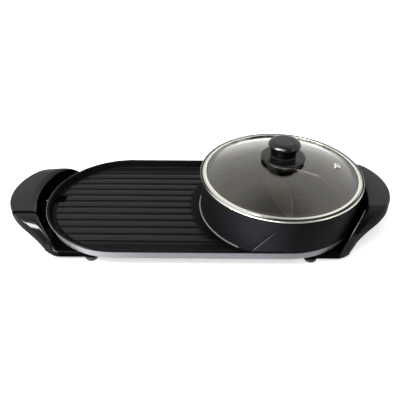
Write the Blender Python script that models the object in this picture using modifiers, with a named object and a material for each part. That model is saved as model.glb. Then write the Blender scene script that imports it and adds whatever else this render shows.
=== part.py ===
"""Electric hot pot and grill combo: a ribbed griddle and a round, divided hot pot cast in one pan,
a domed glass lid, and a low base frame with two carrying handles. Metres, +Z up, table at z = 0."""
import math

import bmesh
import bpy
from mathutils import Matrix, Vector

# Pan: two round ends joined by straight sides, the right end shared with the pot
GRILL_END_X = -0.114
POT_X = 0.122
PAN_RADIUS = 0.1185
RIM_TOP = 0.0320
RIM_THICKNESS = 0.0018
RIM_WIDTH = 0.0040
TUB_FLOOR_UNDER = 0.0180
RIB_TOP = 0.0235
GUTTER_FLOOR = 0.0205
GUTTER_WIDTH = 0.0040
RIB_FIELD_INSET = 0.0125
TUB_DRAFT = 0.0035
TUB_WALL = 0.0021
GROOVE_COUNT = 12
GROOVE_EDGE = 0.01828
GROOVE_WIDTH = 0.0040
GROOVE_POT_MARGIN = 0.0148
DRAIN_LENGTH = 0.0140
DRAIN_WIDTH = 0.0190
DRAIN_MARGIN = 0.0015
DRAIN_BACK_TURN = math.radians(7.7)
DRAIN_INSET = 0.0147

# Pot
POT_RIM_TOP = 0.0833
POT_WALL = 0.0036
POT_FLOOR_TOP = 0.0220
POT_CORNER = 0.0120
POT_TAPER = 0.0015
FOOT_BEAD_OUT = 0.0026
FOOT_BEAD_HEIGHT = 0.0022
DIVIDER_TOP = 0.0730
DIVIDER_THICKNESS = 0.0030
DIVIDER_SWING = 0.0080
DIVIDER_WAVE = 0.2100
GUSSET_FOOT_REACH = 0.0508
GUSSET_HEAD_REACH = 0.0067
GUSSET_THICKNESS = 0.0030

# Side band that skirts the pan
BAND_BOTTOM = 0.0153
BAND_DRAFT = 0.0045
BAND_SHEET = 0.0012
BAND_FLANGE_INSET = 0.0230

# Lid
RING_OVERHANG = 0.0015
RING_BEAD_WIDTH = 0.0036
RING_BEAD_HEIGHT = 0.0017
RING_SHEET = 0.0010
RING_LIP = 0.0033
RING_SEAT = 0.0028
RING_SKIRT_DROP = 0.0042
GLASS_THICKNESS = 0.0040
GLASS_FLANGE = 0.0055
GLASS_RISE = 0.0243
LID_PLAY = 0.0008
VENT_INSET = 0.0266
VENT_HOLE_RADIUS = 0.0040
VENT_FLANGE_RADIUS = 0.0055
VENT_BORE_RADIUS = 0.0020
VENT_FLANGE_THICKNESS = 0.0009
COLLAR_RADIUS = 0.0324
COLLAR_THICKNESS = 0.0030
KNOB_CAP_RADIUS = 0.0233
KNOB_TOP_RADIUS = 0.0160
KNOB_CAP_THICKNESS = 0.0082
KNOB_NECK_TOP_RADIUS = 0.0203
KNOB_NECK_FOOT_RADIUS = 0.0175
KNOB_HEIGHT = 0.0239
KNOB_BORE_DEPTH = 0.0140
KNOB_SCREW_RADIUS = 0.0020
KNOB_SCREW_HEAD_RADIUS = 0.0050
KNOB_SCREW_HEAD_THICKNESS = 0.0024
WASHER_RADIUS = 0.0280
WASHER_THICKNESS = 0.0009
BOSS_RADIUS = 0.0205
BOSS_THICKNESS = 0.0070
BOSS_WALL = 0.0030
HOLE_PLAY = 0.0004

# Base frame and handles
LEFT_RECESS = 0.0115
LEFT_EAR_DEPTH = 0.0415
LEFT_LIP_TOP = 0.0470
LEFT_SHOULDER = 0.0030
LEFT_SKIRT = 0.0150
RIGHT_RECESS = 0.0083
RIGHT_EAR_DEPTH = 0.0367
RIGHT_LIP_TOP = 0.0620
RIGHT_SHOULDER = 0.0020
RIGHT_SKIRT = 0.0185
ARM_TOP = 0.0150
ARM_BOTTOM = 0.0060
ARM_INSET = 0.0245
ARM_WIDTH = 0.0080
ARM_END_REACH = 0.0300
ARM_CORNER_RUN = 0.0120
EAR_HALF_TURN = math.radians(57)
EAR_BEND_RADIUS = 0.0420
LIP_WIDTH = 0.0070
LIP_ROUND = 0.0028
EAR_EDGE_SHARE = 0.0235
EAR_EDGE_ROUND = 0.0036
HANDLE_WALL = 0.0026
WEB_THICKNESS = 0.0025
WEB_SCREW_MARGIN = 0.0080
WEB_TAB_REACH = 0.0500
FOOT_RADIUS = 0.0095
FOOT_MARGIN = 0.0070
FOOT_OUTSET = 0.0020
FOOT_SOCKET = 0.0010
PLATE_THICKNESS = 0.0015
PLATE_INSET = 0.0345
PLATE_END_SHIFT = 0.0160
SCREW_RADIUS = 0.0016
SCREW_HEAD_RADIUS = 0.0034
SCREW_HEAD_THICKNESS = 0.0018
SCREW_MARGIN = 0.0035
SCREW_TURN = math.radians(26.57)
PILLAR_RADIUS = 0.0045
PILLAR_OUTSET = 0.0120
PILLAR_TURN = math.radians(36.87)

# Drip tray, under the drain hole, slides out through the left handle
TRAY_SHIELD_SPACE = 0.0110
TRAY_HALF_WIDTH = 0.0340
TRAY_HEIGHT = 0.0062
TRAY_WALL = 0.0014
TRAY_PULL_DEPTH = 0.0100
TRAY_PULL_HALF_WIDTH = 0.0180
TRAY_PLAY = 0.0010

# Heating, under the pan floor
HEATER_RADIUS = 0.0032
GRILL_LOOP_INSET = 0.0230
GRILL_LOOP_SHIFT = 0.0290
POT_LOOP_INSET = 0.0080
LOOP_SPACING = 0.0300
HEATER_TAIL_INSET = 0.0255
SHIELD_MARGIN = 0.0060
SHIELD_LIP = 0.0030
SHIELD_SHEET = 0.0010
SHIELD_SHIFT = 0.0440
CRADLE_LENGTH = 0.0080
CRADLE_SHEET = 0.0010
CRADLE_FLANGE = 0.0017

# Inlet for the detachable supply connector, at the back behind the pot
INLET_WIDTH = 0.0520
INLET_BOTTOM = 0.0060
INLET_DEPTH = 0.0214
INLET_PROUD = 0.0014
INLET_WALL = 0.0014
PIN_RADIUS = 0.0018
PIN_SPACING = 0.0280
PIN_PROUD = 0.0125
PROBE_RADIUS = 0.0024
PROBE_PROUD = 0.0080
LEAD_RADIUS = 0.0012
LEAD_DIP = 0.0071
FUSE_RADIUS = 0.0024
FUSE_LENGTH = 0.0140

# Fit and resolution
GAP = 0.0003
OVERRUN = 0.0100
MERGE = 0.00002
ROUND_STEPS = 64
SMALL_STEPS = 16
END_STEPS = 28

ROWS = (("front", -1), ("back", 1))

# Radii and reaches that follow from the pan's radius
BAND_FLANGE_RADIUS = PAN_RADIUS - BAND_FLANGE_INSET
DRAIN_RADIUS = PAN_RADIUS - DRAIN_INSET
LID_RING_RADIUS = PAN_RADIUS + RING_OVERHANG
RING_SKIRT_RADIUS = PAN_RADIUS - POT_WALL - LID_PLAY
GLASS_RADIUS = RING_SKIRT_RADIUS - RING_SHEET - GAP
GLASS_FLANGE_RADIUS = GLASS_RADIUS - GLASS_FLANGE
RING_LIP_RADIUS = GLASS_RADIUS - RING_LIP
VENT_DISTANCE = GLASS_FLANGE_RADIUS - VENT_INSET
ARM_INNER_Y = PAN_RADIUS - ARM_INSET
ARM_OUTER_Y = ARM_INNER_Y + ARM_WIDTH
LEFT_INNER = PAN_RADIUS + LEFT_RECESS
RIGHT_INNER = PAN_RADIUS + RIGHT_RECESS
HANDLE_SIDES = {
    "left": {"centre_x": GRILL_END_X, "sign": -1, "inner": LEFT_INNER,
             "reach": LEFT_INNER + LEFT_EAR_DEPTH, "shoulder": LEFT_SHOULDER, "lip_top": LEFT_LIP_TOP,
             "skirt": LEFT_SKIRT},
    "right": {"centre_x": POT_X, "sign": 1, "inner": RIGHT_INNER,
              "reach": RIGHT_INNER + RIGHT_EAR_DEPTH, "shoulder": RIGHT_SHOULDER, "lip_top": RIGHT_LIP_TOP,
              "skirt": RIGHT_SKIRT},
}
FOOT_REACH = ARM_END_REACH + FOOT_MARGIN
FOOT_Y = ARM_INNER_Y + FOOT_OUTSET
PLATE_RADIUS = PAN_RADIUS - PLATE_INSET
SCREW_CIRCLE = PLATE_RADIUS - SCREW_MARGIN
SCREW_REACH = PLATE_END_SHIFT + SCREW_CIRCLE * math.cos(SCREW_TURN)
SCREW_Y = SCREW_CIRCLE * math.sin(SCREW_TURN)
WEB_INNER_REACH = SCREW_REACH - WEB_SCREW_MARGIN
PILLAR_CIRCLE = BAND_FLANGE_RADIUS + PILLAR_OUTSET
PILLAR_REACH = PILLAR_CIRCLE * math.cos(PILLAR_TURN)
PILLAR_Y = PILLAR_CIRCLE * math.sin(PILLAR_TURN)
TRAY_OUTER_REACH = LEFT_INNER - TRAY_PLAY
SHIELD_RADIUS = PLATE_RADIUS - SHIELD_MARGIN
TRAY_INNER_REACH = SHIELD_RADIUS - SHIELD_SHIFT + TRAY_SHIELD_SPACE
SHIELD_LEFT_X = GRILL_END_X + SHIELD_SHIFT
GRILL_LOOP_RADIUS = SHIELD_RADIUS - GRILL_LOOP_INSET
GRILL_LOOP_CENTRE_X = GRILL_END_X + GRILL_LOOP_SHIFT
POT_LOOP_RADIUS = SHIELD_RADIUS - POT_LOOP_INSET
GRILL_LOOP_END_X = POT_X - POT_LOOP_RADIUS - LOOP_SPACING
HEATER_TAIL_Y = PAN_RADIUS - HEATER_TAIL_INSET
INLET_BACK_Y = PAN_RADIUS + INLET_PROUD
INLET_FRONT_Y = INLET_BACK_Y - INLET_DEPTH

BLACK_PLASTIC = ((0.012, 0.012, 0.013), 0.22, 0.0)
NON_STICK = ((0.035, 0.036, 0.038), 0.45, 0.0)
SILVER_PAINT = ((0.42, 0.44, 0.47), 0.35, 0.6)
STEEL = ((0.62, 0.62, 0.60), 0.2, 1.0)
GLASS = ((0.75, 0.78, 0.76), 0.05, 0.0)
RUBBER = ((0.02, 0.02, 0.02), 0.8, 0.0)
ALUMINIUM = ((0.6, 0.6, 0.62), 0.35, 1.0)
PHENOLIC = ((0.02, 0.018, 0.017), 0.5, 0.0)
BRASS = ((0.55, 0.42, 0.18), 0.3, 1.0)
SILICONE = ((0.6, 0.6, 0.58), 0.7, 0.0)


for old in list(bpy.data.objects):
    bpy.data.objects.remove(old)

parts = bpy.data.collections.new("hot_pot_grill_combo")
cutters = bpy.data.collections.new("cutters")
bpy.context.scene.collection.children.link(parts)
bpy.context.scene.collection.children.link(cutters)


def finish(name, look):
    """One Principled material for a piece."""
    colour, roughness, metallic = look
    material = bpy.data.materials.new(name)
    material.use_nodes = True
    shader = material.node_tree.nodes["Principled BSDF"]
    shader.inputs["Base Color"].default_value = (*colour, 1)
    shader.inputs["Roughness"].default_value = roughness
    shader.inputs["Metallic"].default_value = metallic
    return material


def add(name, mesh, look=None, at=(0, 0, 0)):
    """An object in the parts collection, or among the cutters when it has no look."""
    item = bpy.data.objects.new(name, mesh)
    item.location = at
    if look is None:
        cutters.objects.link(item)
        item.hide_render = True
        item.display_type = "WIRE"
    else:
        mesh.materials.append(finish(name, look))
        parts.objects.link(item)
    return item


def smooth(item, angle=math.radians(35)):
    item.data.shade_smooth()
    item.data.set_sharp_from_angle(angle=angle)


def turned(name, profile, look=None, at=(0, 0, 0), steps=ROUND_STEPS, closed=False):
    """A turned solid: the profile's (radius, height) points run down its outer side."""
    mesh = bpy.data.meshes.new(name)
    edges = [(i, i + 1) for i in range(len(profile) - 1)]
    if closed:
        edges.append((len(profile) - 1, 0))
    mesh.from_pydata([(radius, 0, height) for radius, height in profile], edges, [])
    item = add(name, mesh, look, at)
    screw = item.modifiers.new("turn", "SCREW")
    screw.steps = steps
    screw.render_steps = steps
    screw.use_merge_vertices = True
    screw.merge_threshold = MERGE
    screw.use_smooth_shade = True
    return item


def from_bmesh(name, work, look=None, at=(0, 0, 0)):
    bmesh.ops.recalc_face_normals(work, faces=work.faces)
    mesh = bpy.data.meshes.new(name)
    work.to_mesh(mesh)
    work.free()
    return add(name, mesh, look, at)


def box(name, low, high, look=None):
    """A box between two corners."""
    work = bmesh.new()
    low, high = Vector(low), Vector(high)
    size = Matrix.Diagonal((*(high - low), 1))
    bmesh.ops.create_cube(work, size=1, matrix=Matrix.Translation((low + high) / 2) @ size)
    return from_bmesh(name, work, look)


def loft(name, sections, look=None, ring=False):
    """A solid through closed sections of equal point counts, capped at both ends unless it is a ring."""
    work = bmesh.new()
    loops = [[work.verts.new(point) for point in section] for section in sections]
    count = len(loops[0])
    pairs = list(zip(loops, loops[1:]))
    if ring:
        pairs.append((loops[-1], loops[0]))
    for near, far in pairs:
        for i in range(count):
            j = (i + 1) % count
            work.faces.new((near[i], near[j], far[j], far[i]))
    if not ring:
        work.faces.new(loops[0])
        work.faces.new(reversed(loops[-1]))
    return from_bmesh(name, work, look)


def drill(name, x, y, radius, low=None, high=None):
    """An upright round cutter."""
    low = -OVERRUN if low is None else low
    high = RIM_TOP if high is None else high
    return turned(name, [(0, high), (radius, high), (radius, low), (0, low)], at=(x, y, 0), steps=SMALL_STEPS)


def pan_outline(radius, left_x=GRILL_END_X, right_x=POT_X, steps=END_STEPS):
    """The pan's plan outline: two half circles joined by straight sides."""
    points = []
    for centre, start in ((left_x, math.pi / 2), (right_x, -math.pi / 2)):
        for i in range(steps + 1):
            angle = start + math.pi * i / steps
            points.append((centre + radius * math.cos(angle), radius * math.sin(angle)))
    return points


def pan_ring(name, profile, look=None, ring=False):
    """The pan's outline swept through (radius, height) points."""
    sections = [[(x, y, height) for x, y in pan_outline(radius)] for radius, height in profile]
    return loft(name, sections, look, ring)


def plate(name, outline, low, high, look=None):
    """A flat outline with a thickness."""
    curve = bpy.data.curves.new(name, "CURVE")
    curve.dimensions = "2D"
    curve.fill_mode = "BOTH"
    curve.extrude = (high - low) / 2
    spline = curve.splines.new("POLY")
    spline.points.add(len(outline) - 1)
    for point, (x, y) in zip(spline.points, outline):
        point.co = (x, y, 0, 1)
    spline.use_cyclic_u = True
    return meshed(name, curve, (0, 0, (low + high) / 2), look)


def meshed(name, curve, at=(0, 0, 0), look=None):
    """A curve turned into a welded mesh object."""
    guide = bpy.data.objects.new(name, curve)
    guide.location = at
    cutters.objects.link(guide)
    bpy.context.view_layer.update()
    depsgraph = bpy.context.evaluated_depsgraph_get()
    mesh = bpy.data.meshes.new_from_object(guide.evaluated_get(depsgraph))
    matrix = guide.matrix_world.copy()
    bpy.data.objects.remove(guide)
    bpy.data.curves.remove(curve)
    work = bmesh.new()
    work.from_mesh(mesh)
    bpy.data.meshes.remove(mesh)
    bmesh.ops.remove_doubles(work, verts=work.verts, dist=MERGE)
    item = from_bmesh(name, work, look)
    item.matrix_world = matrix
    return item


def tube(name, points, radius, look):
    """A round bar or wire along points."""
    curve = bpy.data.curves.new(name, "CURVE")
    curve.dimensions = "3D"
    curve.bevel_depth = radius
    curve.bevel_resolution = 2
    curve.use_fill_caps = True
    spline = curve.splines.new("POLY")
    spline.points.add(len(points) - 1)
    for point, place in zip(spline.points, points):
        point.co = (*place, 1)
    return meshed(name, curve, look=look)


def combine(item, other, operation):
    modifier = item.modifiers.new(other.name, "BOOLEAN")
    modifier.operation = operation
    modifier.solver = "EXACT"
    modifier.object = other


def cut(item, *others):
    for other in others:
        combine(item, other, "DIFFERENCE")


def join(item, *others):
    for other in others:
        combine(item, other, "UNION")


def weld(item):
    """Joins the near-equal points that the cuts and joins leave."""
    modifier = item.modifiers.new("weld", "WELD")
    modifier.merge_threshold = MERGE


def arc(centre, radius, start, end, steps):
    """Points of an arc in plan, from one angle to another."""
    points = []
    for i in range(steps + 1):
        angle = start + (end - start) * i / steps
        points.append((centre[0] + radius * math.cos(angle), centre[1] + radius * math.sin(angle)))
    return points


RIM_UNDER = RIM_TOP - RIM_THICKNESS
TUB_INNER_TOP = PAN_RADIUS - RIM_WIDTH
TUB_INNER_BOTTOM = TUB_INNER_TOP - TUB_DRAFT
RIB_FIELD_RADIUS = PAN_RADIUS - RIB_FIELD_INSET
TUB_OUTER_TOP = TUB_INNER_TOP + TUB_WALL
TUB_OUTER_BOTTOM = TUB_INNER_BOTTOM + TUB_WALL


def cooking_pan():
    """The casting: griddle tub with rim, ribs and gutter, and the pot with its divider."""
    pan = pan_ring("cooking_pan", [
        (RIB_FIELD_RADIUS, RIB_TOP),
        (RIB_FIELD_RADIUS, GUTTER_FLOOR),
        (TUB_INNER_BOTTOM, GUTTER_FLOOR),
        (TUB_INNER_TOP, RIM_TOP),
        (PAN_RADIUS, RIM_TOP),
        (PAN_RADIUS, RIM_UNDER),
        (TUB_OUTER_TOP, RIM_UNDER),
        (TUB_OUTER_BOTTOM, TUB_FLOOR_UNDER),
    ], NON_STICK)

    pot_outer_foot = PAN_RADIUS + GAP
    pot_body = turned("pot_body", [
        (0, POT_RIM_TOP),
        (PAN_RADIUS - RIM_THICKNESS, POT_RIM_TOP),
        (PAN_RADIUS - GAP, POT_RIM_TOP - RIM_THICKNESS / 2),
        (PAN_RADIUS - GAP, RIB_TOP + FOOT_BEAD_HEIGHT),
        (pot_outer_foot + FOOT_BEAD_OUT, RIB_TOP + FOOT_BEAD_HEIGHT / 2),
        (pot_outer_foot + FOOT_BEAD_OUT, GUTTER_FLOOR - GAP),
        (TUB_OUTER_BOTTOM - GAP, GUTTER_FLOOR - GAP),
        (TUB_OUTER_BOTTOM - 2 * GAP, TUB_FLOOR_UNDER + GAP),
        (0, TUB_FLOOR_UNDER + GAP),
    ], at=(POT_X, 0, 0))
    outside_tub = pan_ring("outside_tub", [
        (PAN_RADIUS + OVERRUN, RIM_UNDER + GAP),
        (PAN_RADIUS + OVERRUN, TUB_FLOOR_UNDER - GAP),
        (TUB_OUTER_BOTTOM - GAP, TUB_FLOOR_UNDER - GAP),
        (TUB_OUTER_TOP - GAP, RIM_UNDER + GAP),
    ], ring=True)
    cut(pot_body, outside_tub)

    inner = PAN_RADIUS - POT_WALL
    pot_room = turned("pot_room", [
        (0, POT_RIM_TOP + OVERRUN),
        (inner, POT_RIM_TOP + OVERRUN),
        (inner, POT_RIM_TOP),
        (inner - POT_TAPER, POT_FLOOR_TOP + POT_CORNER),
        (inner - POT_TAPER - POT_CORNER / 4, POT_FLOOR_TOP + POT_CORNER / 4),
        (inner - POT_TAPER - POT_CORNER, POT_FLOOR_TOP),
        (0, POT_FLOOR_TOP),
    ], at=(POT_X, 0, 0))

    join(pan, pot_body)
    for side in (-1, 1):
        join(pan, gusset(side))
    cut(pan, pot_room)
    wall = divider()
    cut(wall, outside_tub)
    join(pan, wall)
    cut(pan, grooves(), drain_hole())
    weld(pan)
    smooth(pan)
    return pan


def gusset(side):
    """The straight wall that climbs from the low rim to the pot's rim, on the front or the back."""
    outer = side * (PAN_RADIUS - 2 * GAP)
    inner = side * (PAN_RADIUS - GUSSET_THICKNESS)
    foot_x = POT_X - GUSSET_FOOT_REACH
    outline = [
        (foot_x, RIM_UNDER + GAP),
        (foot_x, RIM_TOP),
        (POT_X - GUSSET_HEAD_REACH, POT_RIM_TOP - RIM_THICKNESS / 2),
        (POT_X, POT_RIM_TOP - RIM_THICKNESS / 2),
        (POT_X, RIM_UNDER + GAP),
    ]
    sections = [[(x, y, z) for x, z in outline] for y in (inner, outer)]
    return loft("gusset_front" if side < 0 else "gusset_back", sections)


def divider():
    """The wavy wall that parts the pot in two."""
    reach = PAN_RADIUS - POT_WALL / 2
    steps = END_STEPS
    near, far = [], []
    for i in range(steps + 1):
        y = -reach + 2 * reach * i / steps
        x = POT_X - DIVIDER_SWING * math.sin(2 * math.pi * y / DIVIDER_WAVE)
        near.append((x - DIVIDER_THICKNESS / 2, y))
        far.append((x + DIVIDER_THICKNESS / 2, y))
    low = (POT_FLOOR_TOP + TUB_FLOOR_UNDER) / 2
    return plate("divider", near + far[::-1], low, DIVIDER_TOP)


def grooves():
    """One comb of slots between the ribs, each ending short of the pot."""
    comb = None
    outermost = RIB_FIELD_RADIUS - GROOVE_EDGE
    stop = PAN_RADIUS + GROOVE_POT_MARGIN
    for i in range(GROOVE_COUNT):
        y = outermost * (2 * i / (GROOVE_COUNT - 1) - 1)
        right = POT_X - math.sqrt(stop ** 2 - y ** 2)
        left = GRILL_END_X - math.sqrt((RIB_FIELD_RADIUS + GUTTER_WIDTH / 2) ** 2 - y ** 2)
        work = bmesh.new()
        half = GROOVE_WIDTH / 2
        middle = Vector(((left + right) / 2, y, (RIB_TOP + OVERRUN + GUTTER_FLOOR + GAP) / 2))
        size = (right - left, 2 * half, RIB_TOP + OVERRUN - GUTTER_FLOOR - GAP)
        bmesh.ops.create_cube(work, size=1, matrix=Matrix.Translation(middle) @ Matrix.Diagonal((*size, 1)))
        slot = bpy.data.meshes.new("slot")
        work.to_mesh(slot)
        work.free()
        if comb is None:
            comb = bmesh.new()
        comb.from_mesh(slot)
        bpy.data.meshes.remove(slot)
    return from_bmesh("grooves", comb)


def drain_hole(name="drain_hole", margin=0):
    """The hole in the gutter at the grill's end, a little to the back, or a wider one below it."""
    half_length = DRAIN_LENGTH / 2 + margin
    half_width = DRAIN_WIDTH / 2 + margin
    low = TUB_FLOOR_UNDER - OVERRUN
    hole = box(name, (-half_length, -half_width, low), (half_length, half_width, RIM_TOP))
    angle = math.pi - DRAIN_BACK_TURN
    hole.location = (GRILL_END_X + DRAIN_RADIUS * math.cos(angle), DRAIN_RADIUS * math.sin(angle), 0)
    hole.rotation_euler = (0, 0, angle)
    return hole


def side_band():
    """The silver sheet shell under the pan's rim, with a floor flange, opened for the inlet and the drain."""
    top = RIM_UNDER - GAP
    outer_top = PAN_RADIUS - GAP
    outer_bottom = outer_top - BAND_DRAFT
    flange_top = BAND_BOTTOM + BAND_SHEET
    inner_bottom = outer_bottom - BAND_SHEET + BAND_DRAFT * BAND_SHEET / (top - BAND_BOTTOM)
    band = pan_ring("side_band", [
        (outer_top, top),
        (outer_bottom, BAND_BOTTOM),
        (BAND_FLANGE_RADIUS, BAND_BOTTOM),
        (BAND_FLANGE_RADIUS, flange_top),
        (inner_bottom, flange_top),
        (outer_top - BAND_SHEET, top),
    ], SILVER_PAINT, ring=True)
    half = INLET_WIDTH / 2 + GAP
    opening = box("inlet_opening", (POT_X - half, BAND_FLANGE_RADIUS - OVERRUN, BAND_BOTTOM - OVERRUN),
                  (POT_X + half, PAN_RADIUS + OVERRUN, TUB_FLOOR_UNDER))
    cut(band, opening, drain_hole("band_drain", DRAIN_MARGIN))
    for name, side in HANDLE_SIDES.items():
        for row, sign in ROWS:
            x = side["centre_x"] + side["sign"] * PILLAR_REACH
            cut(band, drill(f"band_drill_{name}_{row}", x, sign * PILLAR_Y, SCREW_RADIUS + GAP))
    smooth(band)
    return band


RING_UNDER = POT_RIM_TOP + GAP
GLASS_TOP_EDGE = RING_UNDER - RING_SKIRT_DROP + RING_SHEET + GAP + GLASS_THICKNESS
GLASS_APEX = GLASS_TOP_EDGE + GLASS_RISE
DOME_RADIUS = (GLASS_FLANGE_RADIUS ** 2 + GLASS_RISE ** 2) / (2 * GLASS_RISE)
DOME_POINTS = 5


def dome_height(radius):
    """Height of the glass's top face at a distance from its middle."""
    return GLASS_APEX - DOME_RADIUS + math.sqrt(DOME_RADIUS ** 2 - radius ** 2)


def lid_glass():
    hole = KNOB_SCREW_RADIUS + 2 * HOLE_PLAY
    top = []
    for i in range(DOME_POINTS + 1):
        radius = hole + (GLASS_FLANGE_RADIUS - hole) * i / DOME_POINTS
        top.append((radius, dome_height(radius)))
    top.append((GLASS_RADIUS, GLASS_TOP_EDGE))
    under = [(radius, height - GLASS_THICKNESS) for radius, height in reversed(top)]
    glass = turned("lid_glass", top + under, GLASS, (POT_X, 0, 0), closed=True)
    bore = drill("vent_bore", 0, 0, VENT_HOLE_RADIUS, -OVERRUN, OVERRUN)
    place_on_dome(bore, -GLASS_THICKNESS / 2)
    cut(glass, bore)
    return glass


def place_on_dome(item, lift):
    """Sets a small turned piece upright on the glass at the vent's place."""
    tilt = math.asin(VENT_DISTANCE / DOME_RADIUS)
    base = Vector((POT_X + VENT_DISTANCE, 0, dome_height(VENT_DISTANCE)))
    item.rotation_euler = (0, tilt, 0)
    item.location = base + lift * Vector((math.sin(tilt), 0, math.cos(tilt)))


def lid_ring():
    """The steel ring: a bead on the pot's rim, and a skirt inside the pot that holds the glass's edge."""
    seat_top = RING_UNDER - RING_SKIRT_DROP + RING_SHEET
    lip_under = GLASS_TOP_EDGE + GAP
    lip_top = lip_under + RING_SHEET
    bead_inner = LID_RING_RADIUS - RING_BEAD_WIDTH
    bead_top = RING_UNDER + RING_BEAD_HEIGHT
    seat_inner = RING_SKIRT_RADIUS - RING_SHEET - RING_SEAT
    ring = turned("lid_ring", [
        (RING_LIP_RADIUS, lip_top),
        (RING_SKIRT_RADIUS, lip_top),
        (RING_SKIRT_RADIUS + RING_SHEET, RING_UNDER + RING_SHEET),
        (bead_inner, RING_UNDER + RING_SHEET),
        (bead_inner + RING_BEAD_WIDTH / 3, bead_top),
        (LID_RING_RADIUS - RING_BEAD_WIDTH / 4, bead_top),
        (LID_RING_RADIUS, bead_top - RING_BEAD_HEIGHT / 3),
        (LID_RING_RADIUS, RING_UNDER + RING_BEAD_HEIGHT / 4),
        (LID_RING_RADIUS - RING_BEAD_WIDTH / 4, RING_UNDER),
        (RING_SKIRT_RADIUS, RING_UNDER),
        (RING_SKIRT_RADIUS, seat_top - RING_SHEET),
        (seat_inner, seat_top - RING_SHEET),
        (seat_inner, seat_top),
        (RING_SKIRT_RADIUS - RING_SHEET, seat_top),
        (RING_SKIRT_RADIUS - RING_SHEET, lip_under),
        (RING_LIP_RADIUS, lip_under),
    ], STEEL, (POT_X, 0, 0), closed=True)
    return ring


def steam_vent():
    """The steel eyelet through the glass."""
    neck = VENT_HOLE_RADIUS - GAP
    half = GLASS_THICKNESS / 2 + GAP
    vent = turned("steam_vent", [
        (VENT_BORE_RADIUS, half + VENT_FLANGE_THICKNESS),
        (VENT_FLANGE_RADIUS - VENT_FLANGE_THICKNESS, half + VENT_FLANGE_THICKNESS),
        (VENT_FLANGE_RADIUS, half),
        (neck, half),
        (neck, -half),
        (VENT_FLANGE_RADIUS, -half),
        (VENT_FLANGE_RADIUS - VENT_FLANGE_THICKNESS, -half - VENT_FLANGE_THICKNESS),
        (VENT_BORE_RADIUS, -half - VENT_FLANGE_THICKNESS),
    ], STEEL, steps=SMALL_STEPS, closed=True)
    place_on_dome(vent, -GLASS_THICKNESS / 2)
    return vent


COLLAR_UNDER = GLASS_APEX + 2 * GAP + WASHER_THICKNESS
KNOB_FOOT = COLLAR_UNDER + COLLAR_THICKNESS + GAP


def lid_knob():
    """Collar disc, mushroom knob, its seal on the glass, the boss under the glass and the screw."""
    hole = KNOB_SCREW_RADIUS + HOLE_PLAY
    edge = COLLAR_THICKNESS / 3
    turned("lid_collar", [
        (hole, COLLAR_UNDER + COLLAR_THICKNESS),
        (COLLAR_RADIUS - edge, COLLAR_UNDER + COLLAR_THICKNESS),
        (COLLAR_RADIUS, COLLAR_UNDER + COLLAR_THICKNESS - edge),
        (COLLAR_RADIUS, COLLAR_UNDER + edge),
        (COLLAR_RADIUS - edge, COLLAR_UNDER),
        (hole, COLLAR_UNDER),
    ], BLACK_PLASTIC, (POT_X, 0, 0), 40, closed=True)

    top = KNOB_FOOT + KNOB_HEIGHT
    brim = top - KNOB_CAP_THICKNESS
    shoulder = (KNOB_CAP_RADIUS + KNOB_TOP_RADIUS) / 2
    turned("lid_knob", [
        (0, top),
        (KNOB_TOP_RADIUS, top - KNOB_CAP_THICKNESS / 12),
        (shoulder, top - KNOB_CAP_THICKNESS / 4),
        (KNOB_CAP_RADIUS, brim + KNOB_CAP_THICKNESS / 3),
        (KNOB_CAP_RADIUS, brim + KNOB_CAP_THICKNESS / 8),
        (KNOB_NECK_TOP_RADIUS, brim),
        (KNOB_NECK_FOOT_RADIUS, KNOB_FOOT + KNOB_CAP_THICKNESS / 3),
        (KNOB_NECK_FOOT_RADIUS + KNOB_CAP_THICKNESS / 8, KNOB_FOOT),
        (hole, KNOB_FOOT),
        (hole, KNOB_FOOT + KNOB_BORE_DEPTH),
        (0, KNOB_FOOT + KNOB_BORE_DEPTH),
    ], BLACK_PLASTIC, (POT_X, 0, 0), 40)

    turned("seal_washer", [
        (hole, GLASS_APEX + GAP + WASHER_THICKNESS),
        (WASHER_RADIUS, GLASS_APEX + GAP + WASHER_THICKNESS),
        (WASHER_RADIUS, dome_height(WASHER_RADIUS) + GAP),
        (hole, GLASS_APEX + GAP),
    ], SILICONE, (POT_X, 0, 0), SMALL_STEPS * 2, closed=True)
    boss_top = dome_height(BOSS_RADIUS) - GLASS_THICKNESS - GAP
    boss_under = boss_top - BOSS_THICKNESS
    head = boss_top - BOSS_WALL - GAP
    pocket = KNOB_SCREW_HEAD_RADIUS + GAP
    turned("knob_boss", [
        (hole, boss_top),
        (BOSS_RADIUS, boss_top),
        (BOSS_RADIUS, boss_under),
        (pocket, boss_under),
        (pocket, boss_top - BOSS_WALL),
        (hole, boss_top - BOSS_WALL),
    ], BLACK_PLASTIC, (POT_X, 0, 0), SMALL_STEPS * 2, closed=True)
    turned("knob_screw", [
        (0, KNOB_FOOT + KNOB_BORE_DEPTH - GAP),
        (KNOB_SCREW_RADIUS, KNOB_FOOT + KNOB_BORE_DEPTH - GAP),
        (KNOB_SCREW_RADIUS, head),
        (KNOB_SCREW_HEAD_RADIUS, head),
        (KNOB_SCREW_HEAD_RADIUS, head - KNOB_SCREW_HEAD_THICKNESS / 2),
        (KNOB_SCREW_HEAD_RADIUS / 2, head - KNOB_SCREW_HEAD_THICKNESS),
        (0, head - KNOB_SCREW_HEAD_THICKNESS),
    ], STEEL, (POT_X, 0, 0), SMALL_STEPS)


def lip_height(y, top):
    """Height of a handle's lip: level over the middle, then down to the arm in one round bend."""
    drop = top - ARM_TOP
    fall = min(drop, EAR_BEND_RADIUS)
    run = math.sqrt(EAR_BEND_RADIUS ** 2 - (EAR_BEND_RADIUS - fall) ** 2)
    past = abs(y) - (ARM_INNER_Y - run)
    if past <= 0:
        return top
    if abs(y) >= ARM_INNER_Y - GAP:
        return ARM_TOP
    return top - EAR_BEND_RADIUS + math.sqrt(EAR_BEND_RADIUS ** 2 - past ** 2)


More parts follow.
